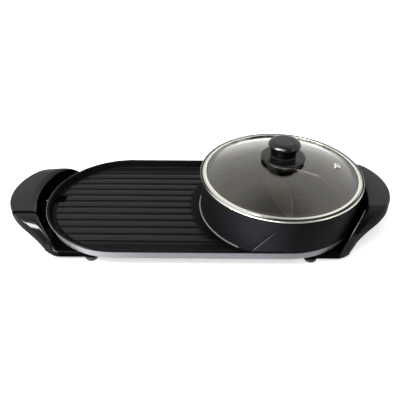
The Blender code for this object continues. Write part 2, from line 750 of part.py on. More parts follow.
def handle_rails(side):
    """Inner and outer plan edges of half a handle, from its arm's end to the middle of its ear."""
    inner_radius = side["inner"]
    turn_cosine = math.cos(EAR_HALF_TURN)
    shoulder = inner_radius + side["shoulder"]
    ear_radius = (shoulder - side["reach"] * turn_cosine) / (1 - turn_cosine)
    ear_centre = side["reach"] - ear_radius
    ear_end = (ear_centre + ear_radius * turn_cosine, ear_radius * math.sin(EAR_HALF_TURN))
    slope = Vector((-math.sin(EAR_HALF_TURN), math.cos(EAR_HALF_TURN)))
    run = (ARM_OUTER_Y - ear_end[1]) / slope.y
    corner = Vector(ear_end) + run * slope
    turn = math.asin(ARM_INNER_Y / inner_radius)
    inner_corner = Vector((inner_radius * math.cos(turn), ARM_INNER_Y))
    ease = ARM_OUTER_Y - ARM_INNER_Y
    straight_end = inner_corner.x - ARM_CORNER_RUN
    inner = [Vector((ARM_END_REACH, ARM_INNER_Y)), Vector((straight_end, ARM_INNER_Y)),
             inner_corner - Vector((ease / 2, 0))]
    outer = [Vector((ARM_END_REACH, ARM_OUTER_Y)), Vector((straight_end - ease, ARM_OUTER_Y)),
             corner + Vector((-ease / 3, 0))]
    corner_steps = 8
    ear_turn = math.asin(ear_end[1] / inner_radius)
    for i in range(1, corner_steps + 1):
        share = i / corner_steps
        angle = turn + (ear_turn - turn) * share
        inner.append(inner_radius * Vector((math.cos(angle), math.sin(angle))))
        outer.append(corner + (Vector(ear_end) - corner) * (share + (1 - share) / corner_steps))
    ear_steps = 7
    for i in range(1, ear_steps + 1):
        share = 1 - i / ear_steps
        inner.append(inner_radius * Vector((math.cos(ear_turn * share), math.sin(ear_turn * share))))
        angle = EAR_HALF_TURN * share
        outer.append(Vector((ear_centre + ear_radius * math.cos(angle), ear_radius * math.sin(angle))))
    return inner, outer


def handle_section(inner, outer, side):
    """An inverted channel between the plan edges: inner wall, lip, sloping top and outer skirt."""
    across = outer - inner
    width = across.length
    along = across / width
    lip = min(LIP_WIDTH, width / 2)
    lip_top = lip_height(inner.y, side["lip_top"])
    outer_top = lip_height(outer.y, side["lip_top"])
    edge = outer_top - EAR_EDGE_SHARE * (width - lip)
    wall = min(HANDLE_WALL, width / 3)
    skirt_foot = max(ARM_BOTTOM, outer_top - side["skirt"])
    bend = EAR_EDGE_ROUND * min(1, width / (4 * EAR_EDGE_ROUND))
    roll = LIP_ROUND * min(1, width / (4 * LIP_ROUND))
    shape = [
        (0, ARM_BOTTOM),
        (0, lip_top - roll),
        (roll / 3, lip_top - roll / 3),
        (roll, lip_top),
        (lip, lip_top),
        (width - bend, edge),
        (width - bend / 3, edge - bend / 3),
        (width, edge - bend),
        (width, skirt_foot),
        (width - wall, skirt_foot),
        (width - wall, edge - HANDLE_WALL - bend / 2),
        (wall, lip_top - HANDLE_WALL),
        (wall, ARM_BOTTOM),
    ]
    points = []
    for a, z in shape:
        place = inner + along * a
        points.append((side["centre_x"] + side["sign"] * place.x, place.y, z))
    return points


def handle(name):
    """One end moulding: two arms, the raised ear and the floor web between them."""
    side = HANDLE_SIDES[name]
    inner, outer = handle_rails(side)
    stations = [(a, b) for a, b in zip(inner, outer)]
    mirrored = [(Vector((a.x, -a.y)), Vector((b.x, -b.y))) for a, b in reversed(stations[:-1])]
    sections = []
    for a, b in stations + mirrored:
        sections.append(handle_section(a, b, side))
    body = loft(f"{name}_handle", sections, BLACK_PLASTIC)

    wall_middle = side["inner"] + HANDLE_WALL / 2
    edge_y = ARM_INNER_Y + HANDLE_WALL / 2
    turn = math.asin(edge_y / wall_middle)
    pillar_side = PILLAR_Y + 2 * PILLAR_RADIUS
    outline = arc((0, 0), wall_middle, -turn, turn, END_STEPS)
    outline = [(WEB_INNER_REACH, -pillar_side), (WEB_TAB_REACH, -pillar_side), (WEB_TAB_REACH, -edge_y),
               *outline, (WEB_TAB_REACH, edge_y), (WEB_TAB_REACH, pillar_side),
               (WEB_INNER_REACH, pillar_side)]
    outline = [(side["centre_x"] + side["sign"] * x, y) for x, y in outline]
    web = plate(f"{name}_web", outline, ARM_BOTTOM, ARM_BOTTOM + WEB_THICKNESS)
    join(body, web)
    for row, sign in ROWS:
        x = side["centre_x"] + side["sign"] * PILLAR_REACH
        pillar = drill(f"pillar_{name}_{row}", x, sign * PILLAR_Y, PILLAR_RADIUS,
                       ARM_BOTTOM + WEB_THICKNESS / 2, ARM_TOP)
        bore = drill(f"pillar_bore_{name}_{row}", x, sign * PILLAR_Y, SCREW_RADIUS + GAP)
        join(body, pillar)
        cut(body, bore)
    if name == "left":
        floor = ARM_BOTTOM + WEB_THICKNESS + GAP / 2
        reach = side["inner"] - OVERRUN
        slot = box("tray_slot",
                   (GRILL_END_X - reach - 2 * OVERRUN - LIP_WIDTH, -TRAY_HALF_WIDTH - TRAY_PLAY, floor),
                   (GRILL_END_X - reach, TRAY_HALF_WIDTH + TRAY_PLAY, floor + TRAY_HEIGHT + 2 * TRAY_PLAY))
        cut(body, slot)
    weld(body)
    smooth(body)
    return body


def corners():
    """The four places of the feet: name, x and y."""
    places = []
    for name, side in HANDLE_SIDES.items():
        for row, sign in ROWS:
            x = side["centre_x"] + side["sign"] * FOOT_REACH
            places.append((f"{name}_{row}", x, sign * FOOT_Y))
    return places


def feet():
    """Round rubber feet under the arms' ends."""
    for name, x, y in corners():
        turned(f"foot_{name}", [
            (0, ARM_BOTTOM - GAP),
            (FOOT_RADIUS, ARM_BOTTOM - GAP),
            (FOOT_RADIUS, FOOT_SOCKET),
            (FOOT_RADIUS - FOOT_SOCKET, 0),
            (0, 0),
        ], RUBBER, (x, y, 0), SMALL_STEPS)


def screw(name, x, y, head_top, tip):
    """A pan-head screw driven in from below."""
    turned(name, [
        (0, tip),
        (SCREW_RADIUS, tip),
        (SCREW_RADIUS, head_top),
        (SCREW_HEAD_RADIUS, head_top),
        (SCREW_HEAD_RADIUS, head_top - SCREW_HEAD_THICKNESS / 2),
        (SCREW_HEAD_RADIUS / 2, head_top - SCREW_HEAD_THICKNESS),
        (0, head_top - SCREW_HEAD_THICKNESS),
    ], STEEL, (x, y, 0), SMALL_STEPS)


def base_plate():
    """The steel plate that ties the two handle mouldings together, and the eight screws of the base."""
    top = ARM_BOTTOM - GAP
    outline = pan_outline(PLATE_RADIUS, GRILL_END_X - PLATE_END_SHIFT, POT_X + PLATE_END_SHIFT)
    base = plate("base_plate", outline, top - PLATE_THICKNESS, top, STEEL)
    for name, side in HANDLE_SIDES.items():
        web = bpy.data.objects[f"{name}_handle"]
        for row, sign in ROWS:
            x = side["centre_x"] + side["sign"] * SCREW_REACH
            hole = drill(f"drill_{name}_{row}", x, sign * SCREW_Y, SCREW_RADIUS + GAP, high=BAND_BOTTOM)
            cut(base, hole)
            cut(web, hole)
            screw(f"plate_screw_{name}_{row}", x, sign * SCREW_Y, top - PLATE_THICKNESS - GAP,
                  ARM_BOTTOM + WEB_THICKNESS)
            x = side["centre_x"] + side["sign"] * PILLAR_REACH
            screw(f"band_screw_{name}_{row}", x, sign * PILLAR_Y, top, BAND_BOTTOM + BAND_SHEET)
    return base


def heat_shield():
    """A shallow aluminium tray on the base plate, under the heaters."""
    floor = ARM_BOTTOM
    outline_at = {radius: pan_outline(radius, SHIELD_LEFT_X, POT_X, END_STEPS // 2)
                  for radius in (SHIELD_RADIUS, SHIELD_RADIUS - SHIELD_SHEET)}
    sections = []
    for radius, height in ((SHIELD_RADIUS - SHIELD_SHEET, floor + SHIELD_SHEET),
                           (SHIELD_RADIUS - SHIELD_SHEET, floor + SHIELD_LIP),
                           (SHIELD_RADIUS, floor + SHIELD_LIP),
                           (SHIELD_RADIUS, floor)):
        sections.append([(x, y, height) for x, y in outline_at[radius]])
    return loft("heat_shield", sections, ALUMINIUM)


def drip_tray():
    """The flat tray under the drain hole, with a pull lip at its outer end."""
    low = ARM_BOTTOM + WEB_THICKNESS + GAP
    high = low + TRAY_HEIGHT
    outer_x = GRILL_END_X - TRAY_OUTER_REACH
    inner_x = GRILL_END_X - TRAY_INNER_REACH
    tray = box("drip_tray", (outer_x, -TRAY_HALF_WIDTH, low), (inner_x, TRAY_HALF_WIDTH, high), BLACK_PLASTIC)
    room = box("tray_room", (outer_x + TRAY_WALL, -TRAY_HALF_WIDTH + TRAY_WALL, low + TRAY_WALL),
               (inner_x - TRAY_WALL, TRAY_HALF_WIDTH - TRAY_WALL, high + OVERRUN))
    pull = box("tray_pull", (outer_x - TRAY_PULL_DEPTH, -TRAY_PULL_HALF_WIDTH, high - 2 * TRAY_WALL),
               (outer_x + TRAY_WALL / 2, TRAY_PULL_HALF_WIDTH, high - TRAY_WALL / 2))
    cut(tray, room)
    join(tray, pull)
    return tray


HEATER_Z = TUB_FLOOR_UNDER - GAP - HEATER_RADIUS
PIN_LEFT_X = POT_X - PIN_SPACING / 2
PIN_RIGHT_X = POT_X + PIN_SPACING / 2
PIN_START_Y = HEATER_TAIL_Y + 2 * GAP
PIN_Z = (INLET_BOTTOM + TUB_FLOOR_UNDER - GAP) / 2
QUARTER = math.pi / 2


def level(points, z=HEATER_Z):
    return [(x, y, z) for x, y in points]


def heaters():
    """Two sheathed heaters under the pan floor: a hairpin for the grill and a ring for the pot."""
    hairpin = [(GRILL_LOOP_END_X, -GRILL_LOOP_RADIUS)]
    hairpin += arc((GRILL_LOOP_CENTRE_X, 0), GRILL_LOOP_RADIUS, 3 * QUARTER, QUARTER, 20)
    hairpin.append((GRILL_LOOP_END_X, GRILL_LOOP_RADIUS))
    tube("grill_heater", level(hairpin), HEATER_RADIUS, STEEL)

    half_gap = math.asin(PIN_SPACING / 2 / POT_LOOP_RADIUS)
    ring = arc((POT_X, 0), POT_LOOP_RADIUS, QUARTER - half_gap, QUARTER + half_gap - 4 * QUARTER, 32)
    tails = [(x, HEATER_TAIL_Y, PIN_Z) for x in (PIN_RIGHT_X, PIN_LEFT_X)]
    tube("pot_heater", [tails[0], *level(ring), tails[1]], HEATER_RADIUS, STEEL)


def cradles():
    """Sheet cradles on the heat shield that carry the heaters."""
    low = ARM_BOTTOM + SHIELD_SHEET + GAP
    seat = HEATER_Z - HEATER_RADIUS - GAP
    inside = HEATER_RADIUS + 2 * GAP
    wall = inside + CRADLE_SHEET
    flange = wall + CRADLE_FLANGE
    half = [
        (flange, low), (flange, low + CRADLE_SHEET), (wall, low + CRADLE_SHEET), (wall, HEATER_Z),
        (inside, HEATER_Z), (inside, seat),
    ]
    mirrored = [(-a, z) for a, z in reversed(half)]
    under = [(-inside, low), (-inside, seat - CRADLE_SHEET), (inside, seat - CRADLE_SHEET), (inside, low)]
    outline = half + mirrored + under
    middle = (GRILL_LOOP_CENTRE_X + GRILL_LOOP_END_X) / 2
    places = (
        ("cradle_grill_front", middle, -GRILL_LOOP_RADIUS),
        ("cradle_grill_back", middle, GRILL_LOOP_RADIUS),
        ("cradle_pot_front", POT_X, -POT_LOOP_RADIUS),
    )
    for name, x, y in places:
        ends = (x - CRADLE_LENGTH / 2, x + CRADLE_LENGTH / 2)
        loft(name, [[(end, y + a, z) for a, z in outline] for end in ends], STEEL)
    left_x = GRILL_LOOP_CENTRE_X - GRILL_LOOP_RADIUS
    right_x = POT_X + POT_LOOP_RADIUS
    for name, x in (("cradle_grill_end", left_x), ("cradle_pot_end", right_x)):
        ends = (-CRADLE_LENGTH / 2, CRADLE_LENGTH / 2)
        loft(name, [[(x + a, end, z) for a, z in outline] for end in ends], STEEL)


def leads():
    """The two insulated leads from the grill heater to the contact pins, one through the fuse."""
    start_x = GRILL_LOOP_END_X + GAP
    straight = 2 * LEAD_RADIUS
    spacing = 2 * straight
    clear = POT_LOOP_RADIUS + HEATER_RADIUS + spacing
    diagonal = math.cos(QUARTER / 2)
    side = PIN_RADIUS + GAP
    back_y = GRILL_LOOP_RADIUS
    fuse_start = start_x + FUSE_LENGTH
    join_y = PIN_START_Y + straight
    approach = PIN_LEFT_X - FUSE_LENGTH
    tube("lead_fuse_in", level([(start_x, back_y), (fuse_start - GAP, back_y)]), LEAD_RADIUS, SILICONE)
    fuse = turned("thermal_fuse", [
        (0, FUSE_LENGTH),
        (FUSE_RADIUS / 2, FUSE_LENGTH),
        (FUSE_RADIUS, FUSE_LENGTH - FUSE_RADIUS / 2),
        (FUSE_RADIUS, FUSE_RADIUS / 2),
        (FUSE_RADIUS / 2, 0),
        (0, 0),
    ], BRASS, (fuse_start, back_y, HEATER_Z), SMALL_STEPS)
    fuse.rotation_euler = (0, QUARTER, 0)
    fuse_end = fuse_start + FUSE_LENGTH + GAP
    outer = diagonal * (clear + spacing)
    run = level([
        (fuse_end, back_y),
        (fuse_end + straight, back_y),
        (POT_X - outer, outer),
        (approach - FUSE_LENGTH, join_y - FUSE_LENGTH / 2),
    ])
    run += level([(approach, join_y - LEAD_RADIUS), (PIN_LEFT_X - side, join_y)], PIN_Z)
    tube("lead_left", run, LEAD_RADIUS, SILICONE)

    dip = HEATER_Z - LEAD_DIP
    inner = diagonal * clear
    column_x = start_x + FUSE_LENGTH
    column_y = back_y - FUSE_LENGTH
    under_y = HEATER_TAIL_Y - 2 * PIN_RADIUS
    run = level([
        (start_x, -back_y),
        (start_x + straight, -back_y),
        (start_x + FUSE_LENGTH / 2, FUSE_LENGTH / 4 - back_y),
        (column_x, -column_y),
        (column_x, column_y - FUSE_LENGTH),
        (POT_X - clear, column_y),
        (POT_X - inner, inner),
        (approach - FUSE_LENGTH / 2, under_y - 2 * PIN_RADIUS),
    ])
    run += level([(approach + FUSE_LENGTH / 4, under_y), (POT_X, under_y)], dip)
    run.append((PIN_RIGHT_X - side - FUSE_LENGTH / 2, join_y, (PIN_Z + dip) / 2))
    run += level([(PIN_RIGHT_X - side - straight, join_y), (PIN_RIGHT_X - side, join_y)], PIN_Z)
    tube("lead_right", run, LEAD_RADIUS, SILICONE)


def inlet():
    """The socket housing at the back, its two contact pins and the probe tube."""
    half = INLET_WIDTH / 2
    front_y = INLET_FRONT_Y
    top = TUB_FLOOR_UNDER - GAP
    housing = box("inlet_housing", (POT_X - half, front_y, INLET_BOTTOM),
                  (POT_X + half, INLET_BACK_Y, top), PHENOLIC)
    room = box("inlet_room", (POT_X - half + INLET_WALL, front_y + INLET_WALL, INLET_BOTTOM + INLET_WALL),
               (POT_X + half - INLET_WALL, INLET_BACK_Y + OVERRUN, top - INLET_WALL))
    cut(housing, room)
    floor_y = front_y + INLET_WALL
    rods = (
        ("contact_pin_left", PIN_LEFT_X, PIN_RADIUS, PIN_PROUD),
        ("contact_pin_right", PIN_RIGHT_X, PIN_RADIUS, PIN_PROUD),
        ("probe_tube", POT_X, PROBE_RADIUS, PROBE_PROUD),
    )
    for name, x, radius, proud in rods:
        length = floor_y + proud - PIN_START_Y
        rod = turned(name, [
            (0, length),
            (radius - GAP, length),
            (radius, length - radius / 2),
            (radius, 0),
            (0, 0),
        ], STEEL, (x, PIN_START_Y, PIN_Z), SMALL_STEPS)
        rod.rotation_euler = (-QUARTER, 0, 0)
        hole = radius + GAP
        bore = turned(f"{name}_hole", [(0, OVERRUN), (hole, OVERRUN), (hole, -OVERRUN), (0, -OVERRUN)],
                      at=(x, front_y, PIN_Z), steps=SMALL_STEPS)
        bore.rotation_euler = (-QUARTER, 0, 0)
        cut(housing, bore)


cooking_pan()
side_band()
lid_glass()
lid_ring()
steam_vent()
lid_knob()
handle("left")
handle("right")
feet()
base_plate()
heat_shield()
drip_tray()
heaters()
cradles()
leads()
inlet()
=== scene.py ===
"""The looks of the hot pot and grill combo: finishes, fine shapes, floor, lights and camera."""
import math

import bmesh
import bpy
from mathutils import Matrix, Vector

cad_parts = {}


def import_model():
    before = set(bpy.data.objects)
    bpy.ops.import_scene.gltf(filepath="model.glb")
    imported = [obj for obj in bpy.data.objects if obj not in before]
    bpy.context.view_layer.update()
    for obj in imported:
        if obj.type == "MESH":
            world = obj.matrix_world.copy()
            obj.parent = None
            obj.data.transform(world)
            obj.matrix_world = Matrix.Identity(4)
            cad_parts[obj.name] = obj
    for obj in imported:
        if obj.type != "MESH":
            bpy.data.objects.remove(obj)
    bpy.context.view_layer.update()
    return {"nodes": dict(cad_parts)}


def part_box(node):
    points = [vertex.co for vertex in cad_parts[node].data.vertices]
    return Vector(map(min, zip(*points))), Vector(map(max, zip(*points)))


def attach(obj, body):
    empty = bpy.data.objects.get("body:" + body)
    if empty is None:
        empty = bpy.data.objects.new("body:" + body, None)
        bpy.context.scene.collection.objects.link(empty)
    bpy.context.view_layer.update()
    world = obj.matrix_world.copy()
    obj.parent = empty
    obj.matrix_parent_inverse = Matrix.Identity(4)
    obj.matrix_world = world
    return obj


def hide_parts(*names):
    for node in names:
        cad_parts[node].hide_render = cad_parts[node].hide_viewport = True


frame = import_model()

# Places and sizes read from the frame
PAN_LOW, PAN_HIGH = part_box("cooking_pan")
BAND_LOW, BAND_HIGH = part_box("side_band")
GLASS_LOW, GLASS_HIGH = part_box("lid_glass")
RING_LOW, RING_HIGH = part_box("lid_ring")
COLLAR_LOW, COLLAR_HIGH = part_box("lid_collar")
KNOB_LOW, KNOB_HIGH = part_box("lid_knob")
BOSS_LOW, BOSS_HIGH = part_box("knob_boss")
PAN_RADIUS = PAN_HIGH[1]
GRILL_END_X = PAN_LOW[0] + PAN_RADIUS
POT_X = PAN_HIGH[0] - PAN_RADIUS
POT_RIM_TOP = PAN_HIGH[2]
TUB_UNDER = PAN_LOW[2]

# Pan
RIM_TOP = 0.0320
RIM_THICKNESS = 0.0018
RIM_WIDTH = 0.0040
TUB_DRAFT = 0.0035
TUB_WALL = 0.0021
RIB_TOP = 0.0235
GUTTER_FLOOR = 0.0205
RIB_FIELD_INSET = 0.0125
GROOVE_COUNT = 12
GROOVE_PITCH = 0.01595
GROOVE_WIDTH = 0.0050
GROOVE_DEPTH = 0.0026
GROOVE_POT_MARGIN = 0.0148
DRAIN_LENGTH = 0.0150
DRAIN_WIDTH = 0.0210
DRAIN_TURN = math.radians(172.3)
DRAIN_RADIUS = 0.1038
POT_WALL = 0.0036
POT_TAPER = 0.0015
POT_FLOOR_TOP = 0.0220
POT_CORNER = 0.0120
BEAD_OUT = 0.0029
BEAD_HEIGHT = 0.0022
DIVIDER_TOP = 0.0730
DIVIDER_THICKNESS = 0.0030
DIVIDER_SWING = 0.0080
DIVIDER_WAVE = 0.2100
GUSSET_FOOT_X = 0.0712
GUSSET_HEAD_X = 0.1153
GUSSET_THICKNESS = 0.0030

# Band
BAND_DRAFT = 0.0045
BAND_SHEET = 0.0012
BAND_FLANGE_RADIUS = 0.0955
BAND_ROUND = 0.0008
INLET_HALF_WIDTH = 0.0263

# Lid
GLASS_THICKNESS = 0.0040
GLASS_FLANGE_RADIUS = 0.1073
HUB_HOLE = 0.0028
VENT_HOLE_RADIUS = 0.0040
RING_SHEET = 0.0010
RING_LIP_RADIUS = 0.1106
RING_SKIRT_RADIUS = 0.1141
RING_BEAD_WIDTH = 0.0036
RING_BEAD_HEIGHT = 0.0017
RING_SEAT_RADIUS = 0.1103
VENT_TURN_RADIUS = 0.0807
VENT_FLANGE_RADIUS = 0.0052
VENT_BORE_RADIUS = 0.0024
VENT_BRIM = 0.0009

# Knob, its crown given as radius, drop from the top and rounding
KNOB_CROWN = ((0, 0.0001, 0), (0.0160, 0.0004, 0.0080), (0.0208, 0.0024, 0.0060))
KNOB_SHOULDER_DROP = 0.0052
KNOB_SHOULDER_ROUND = 0.0030
KNOB_BRIM_DROP = 0.0082
KNOB_BRIM_ROUND = 0.0010
KNOB_NECK_RADIUS = 0.0203
KNOB_NECK_DROP = 0.0040
KNOB_WAIST_RADIUS = 0.0174
KNOB_WAIST_HEIGHT = 0.0030
KNOB_WAIST_ROUND = 0.0060
KNOB_FOOT_RADIUS = 0.0186
KNOB_BORE_DEPTH = 0.0141
KNOB_STEPS = 96
BOSS_POCKET_RADIUS = 0.0053
BOSS_WEB = 0.0030
BOSS_EDGE_ROUND = 0.0020

# Handles
SIDES = {
    "left": {"centre_x": GRILL_END_X, "sign": -1, "reach": 0.1715, "inner": 0.1300, "shoulder": 0.0030,
             "top": 0.0470, "skirt": 0.0150},
    "right": {"centre_x": POT_X, "sign": 1, "reach": 0.1635, "inner": 0.1268, "shoulder": 0.0020,
              "top": 0.0620, "skirt": 0.0185},
}
ARM_TOP = 0.0150
ARM_BOTTOM = 0.0060
ARM_INNER_Y = 0.0940
ARM_OUTER_Y = 0.1020
ARM_END_REACH = 0.0300
INNER_CORNER = 0.0120
OUTER_CORNER = 0.0250
EAR_HALF_TURN = math.radians(57)
EAR_BEND_RADIUS = 0.0420
EAR_EDGE_SHARE = 0.0235
EAR_EDGE_ROUND = 0.0036
ROLL_WIDTH = 0.0068
ROLL_DROP = 0.0046
ARM_ROLL_DROP = 0.0012
HANDLE_WALL = 0.0026
WEB_THICKNESS = 0.0025
WEB_INNER_REACH = 0.0800
WEB_TAB_REACH = 0.0500
WEB_TAB_SIDE = 0.0735
PILLAR_RADIUS = 0.0045
PILLAR_REACH = 0.0860
PILLAR_Y = 0.0645
CREASE_Y = 0.0497
# Where the painted highlight line along the handles' inner lip begins, and how softly it fades
LIP_GLINT_Y = 0.0580
LIP_GLINT_FADE = 0.0040
EAR_LOW = 0.0400
TRAY_SLOT_HALF = 0.0350
TRAY_SLOT_LOW = 0.00865
TRAY_SLOT_HIGH = 0.0161

# Camera, as fitted to the photograph
CAMERA_PLACE = (0.0054, -0.5894, 0.4637)
CAMERA_ELEVATION = math.radians(36.21)
CAMERA_AZIMUTH = math.radians(0.33)
CAMERA_ROLL = math.radians(0.21)
CAMERA_LENS = 42.48
SENSOR = 36

# Room
WORLD_LEVEL = 0.55
FLOOR_HALF = 4
FLOOR_COLOUR = (0.60, 0.60, 0.60)
OBJECT_MIDDLE = (0, 0, 0.03)

# Resolution and fit
END_STEPS = 72
ROUND_STEPS = 160
SMALL_STEPS = 48
CORNER_STEPS = 5
DOME_STEPS = 22
EDGE_ANGLE = math.radians(32)
OVERRUN = 0.0100
HAIR = 0.0001

def close(name, work):
    """The finished mesh object, with its faces turned outwards and its hard edges kept."""
    bmesh.ops.recalc_face_normals(work, faces=work.faces)
    mesh = bpy.data.meshes.new(name)
    work.to_mesh(mesh)
    work.free()
    mesh.shade_smooth()
    mesh.set_sharp_from_angle(angle=EDGE_ANGLE)
    item = bpy.data.objects.new(name, mesh)
    bpy.context.scene.collection.objects.link(item)
    return item


def rounded(corners, closed=True, steps=CORNER_STEPS):
    """A flat outline whose corners, (across, up, radius), are rounded by arcs."""
    path = []
    count = len(corners)
    for i, (across, up, radius) in enumerate(corners):
        here = Vector((across, up))
        if radius == 0 or not closed and i in (0, count - 1):
            path.append((across, up))
            continue
        back = Vector(corners[i - 1][:2]) - here
        ahead = Vector(corners[(i + 1) % count][:2]) - here
        half = back.angle(ahead) / 2
        reach = min(radius / math.tan(half), back.length * 0.48, ahead.length * 0.48)
        centre = here + (back.normalized() + ahead.normalized()).normalized() * reach / math.cos(half)
        first = here + back.normalized() * reach - centre
        last = here + ahead.normalized() * reach - centre
        sweep = math.atan2(first.cross(last), first.dot(last))
        for k in range(steps + 1):
            turn = Matrix.Rotation(sweep * k / steps, 2)
            spot = centre + turn @ first
            path.append((spot.x, spot.y))
    return path


def skin(work, rows, closed_rows=True, ring=False):
    """Faces between rows of vertices. A row of one vertex is a pole."""
    pairs = list(zip(rows, rows[1:]))
    if ring:
        pairs.append((rows[-1], rows[0]))
    for near, far in pairs:
        count = max(len(near), len(far))
        for i in range(count if closed_rows else count - 1):
            j = (i + 1) % count
            if len(near) == 1:
                work.faces.new((near[0], far[j], far[i]))
            elif len(far) == 1:
                work.faces.new((near[i], near[j], far[0]))
            else:
                work.faces.new((near[i], near[j], far[j], far[i]))


def turned(name, profile, centre=(0, 0), steps=ROUND_STEPS, ring=False):
    """A turned solid from (radius, height) points, about an upright axis."""
    work = bmesh.new()
    rows = []
    for radius, height in profile:
        if radius < HAIR / 100:
            rows.append([work.verts.new((*centre, height))])
            continue
        row = []
        for k in range(steps):
            angle = 2 * math.pi * k / steps
            place = (centre[0] + radius * math.cos(angle), centre[1] + radius * math.sin(angle), height)
            row.append(work.verts.new(place))
        rows.append(row)
    skin(work, rows, ring=ring)
    return close(name, work)


def loft(name, sections, ring=False):
    """A solid through closed sections of equal counts, capped unless it is a ring."""
    work = bmesh.new()
    rows = [[work.verts.new(point) for point in section] for section in sections]
    skin(work, rows, ring=ring)
    if not ring:
        work.faces.new(rows[0])
        work.faces.new(reversed(rows[-1]))
    return close(name, work)


def stadium(radius):
    """Two half circles joined by straight sides, in plan."""
    points = []
    for centre, start in ((GRILL_END_X, math.pi / 2), (POT_X, -math.pi / 2)):
        for k in range(END_STEPS + 1):
            angle = start + math.pi * k / END_STEPS
            points.append((centre + radius * math.cos(angle), radius * math.sin(angle)))
    return points


def stadium_loft(name, profile, ring=False):
    """A solid with the pan's plan, from (end radius, height) points."""
    sections = [[(x, y, height) for x, y in stadium(radius)] for radius, height in profile]
    return loft(name, sections, ring)


def combine(item, *steps):
    """Joins other solids to a solid or cuts them from it, one after another, and uses them up."""
    for operation, other in steps:
        modifier = item.modifiers.new(operation, "BOOLEAN")
        modifier.operation = operation
        modifier.solver = "MANIFOLD"
        modifier.object = other
        bpy.context.view_layer.update()
        graph = bpy.context.evaluated_depsgraph_get()
        mesh = bpy.data.meshes.new_from_object(item.evaluated_get(graph))
        item.modifiers.clear()
        spent = item.data
        item.data = mesh
        bpy.data.meshes.remove(spent)
        bpy.data.objects.remove(other)
    item.data.shade_smooth()
    item.data.set_sharp_from_angle(angle=EDGE_ANGLE)
    return item


def block(name, low, high):
    """A plain box cutter."""
    work = bmesh.new()
    low, high = Vector(low), Vector(high)
    size = Matrix.Diagonal((*(high - low), 1))
    bmesh.ops.create_cube(work, size=1, matrix=Matrix.Translation((low + high) / 2) @ size)
    return close(name, work)


# Pan

def tub():
    """The shallow griddle tub with its rounded rim."""
    inner_top = PAN_RADIUS - RIM_WIDTH
    inner_bottom = inner_top - TUB_DRAFT
    corner = RIB_TOP - GUTTER_FLOOR
    under = RIM_TOP - RIM_THICKNESS
    profile = rounded([
        (inner_bottom - 2 * corner, GUTTER_FLOOR, 0),
        (inner_bottom, GUTTER_FLOOR, corner),
        (inner_top, RIM_TOP, RIM_THICKNESS * 0.7),
        (PAN_RADIUS, RIM_TOP, RIM_THICKNESS * 0.6),
        (PAN_RADIUS, under, RIM_THICKNESS * 0.35),
        (inner_top + TUB_WALL, under, RIM_THICKNESS * 0.4),
        (inner_bottom + TUB_WALL, TUB_UNDER, corner * 0.6),
        (inner_bottom - corner, TUB_UNDER, 0),
    ], closed=False)
    return stadium_loft("pan_casting", profile)


def ribs():
    """The ribbed plateau: a slab with rounded grooves along it, cut to the tub's shape."""
    half = PAN_RADIUS - RIB_FIELD_INSET
    round_in = GROOVE_WIDTH * 0.22
    round_out = GROOVE_WIDTH * 0.30
    crown = GROOVE_DEPTH * 0.12
    low = (TUB_UNDER + GUTTER_FLOOR) / 2
    corners = [(-half - OVERRUN, RIB_TOP, 0)]
    for i in range(GROOVE_COUNT):
        y = GROOVE_PITCH * (i - (GROOVE_COUNT - 1) / 2)
        floor = RIB_TOP - GROOVE_DEPTH
        corners += [
            (y - GROOVE_WIDTH / 2, RIB_TOP, round_out),
            (y - GROOVE_WIDTH / 3, floor, round_in),
            (y + GROOVE_WIDTH / 3, floor, round_in),
            (y + GROOVE_WIDTH / 2, RIB_TOP, round_out),
        ]
        if i < GROOVE_COUNT - 1:
            corners.append((y + GROOVE_PITCH / 2, RIB_TOP + crown, OVERRUN))
    corners += [(half + OVERRUN, RIB_TOP, 0), (half + OVERRUN, low, 0), (-half - OVERRUN, low, 0)]
    outline = rounded(corners, steps=4)
    ends = (GRILL_END_X - half - OVERRUN, POT_X)
    slab = loft("ribs", [[(x, y, z) for y, z in outline] for x in ends])
    edge = RIB_TOP - GUTTER_FLOOR
    pill = stadium_loft("rib_field", rounded([
        (half - edge, RIB_TOP + OVERRUN, 0),
        (half - edge, RIB_TOP + edge, 0),
        (half - edge * 0.5, RIB_TOP + crown, 0),
        (half - edge * 0.15, RIB_TOP - edge * 0.2, edge * 0.3),
        (half, GUTTER_FLOOR - HAIR, 0),
        (half, low - HAIR, 0),
    ], closed=False, steps=3))
    apron_radius = PAN_RADIUS + GROOVE_POT_MARGIN
    apron = turned("apron", rounded([
        (0, RIB_TOP + crown / 2, 0),
        (apron_radius, RIB_TOP + crown / 2, edge * 0.25),
        (apron_radius + edge * 0.3, low + HAIR, 0),
        (0, low + HAIR, 0),
    ], closed=False, steps=3), (POT_X, 0))
    slab = combine(slab, ("UNION", apron))
    return combine(slab, ("INTERSECT", pill))


def pot_outside():
    """The pot's outer body with the bead around its foot, trimmed to the tub below the rim."""
    wall = PAN_RADIUS - HAIR * 3
    body = turned("pot_outside", rounded([
        (0, POT_RIM_TOP, 0),
        (wall - POT_WALL / 2, POT_RIM_TOP, 0),
        (wall, POT_RIM_TOP, RIM_THICKNESS),
        (wall, RIB_TOP + BEAD_HEIGHT, BEAD_HEIGHT * 0.5),
        (wall + BEAD_OUT, RIB_TOP + BEAD_HEIGHT * 0.8, BEAD_HEIGHT * 0.5),
        (wall + BEAD_OUT, GUTTER_FLOOR - HAIR, 0),
        (0, GUTTER_FLOOR - HAIR, 0),
    ], closed=False), (POT_X, 0))
    outer = PAN_RADIUS - RIM_WIDTH + TUB_WALL
    skirt = stadium_loft("skirt", [
        (PAN_RADIUS + 2 * OVERRUN, RIM_TOP - RIM_THICKNESS / 2),
        (PAN_RADIUS + 2 * OVERRUN, TUB_UNDER - OVERRUN),
        (outer - TUB_DRAFT - HAIR * 4, TUB_UNDER - OVERRUN),
        (outer - HAIR * 5, RIM_TOP - RIM_THICKNESS / 2),
    ], ring=True)
    return combine(body, ("DIFFERENCE", skirt))


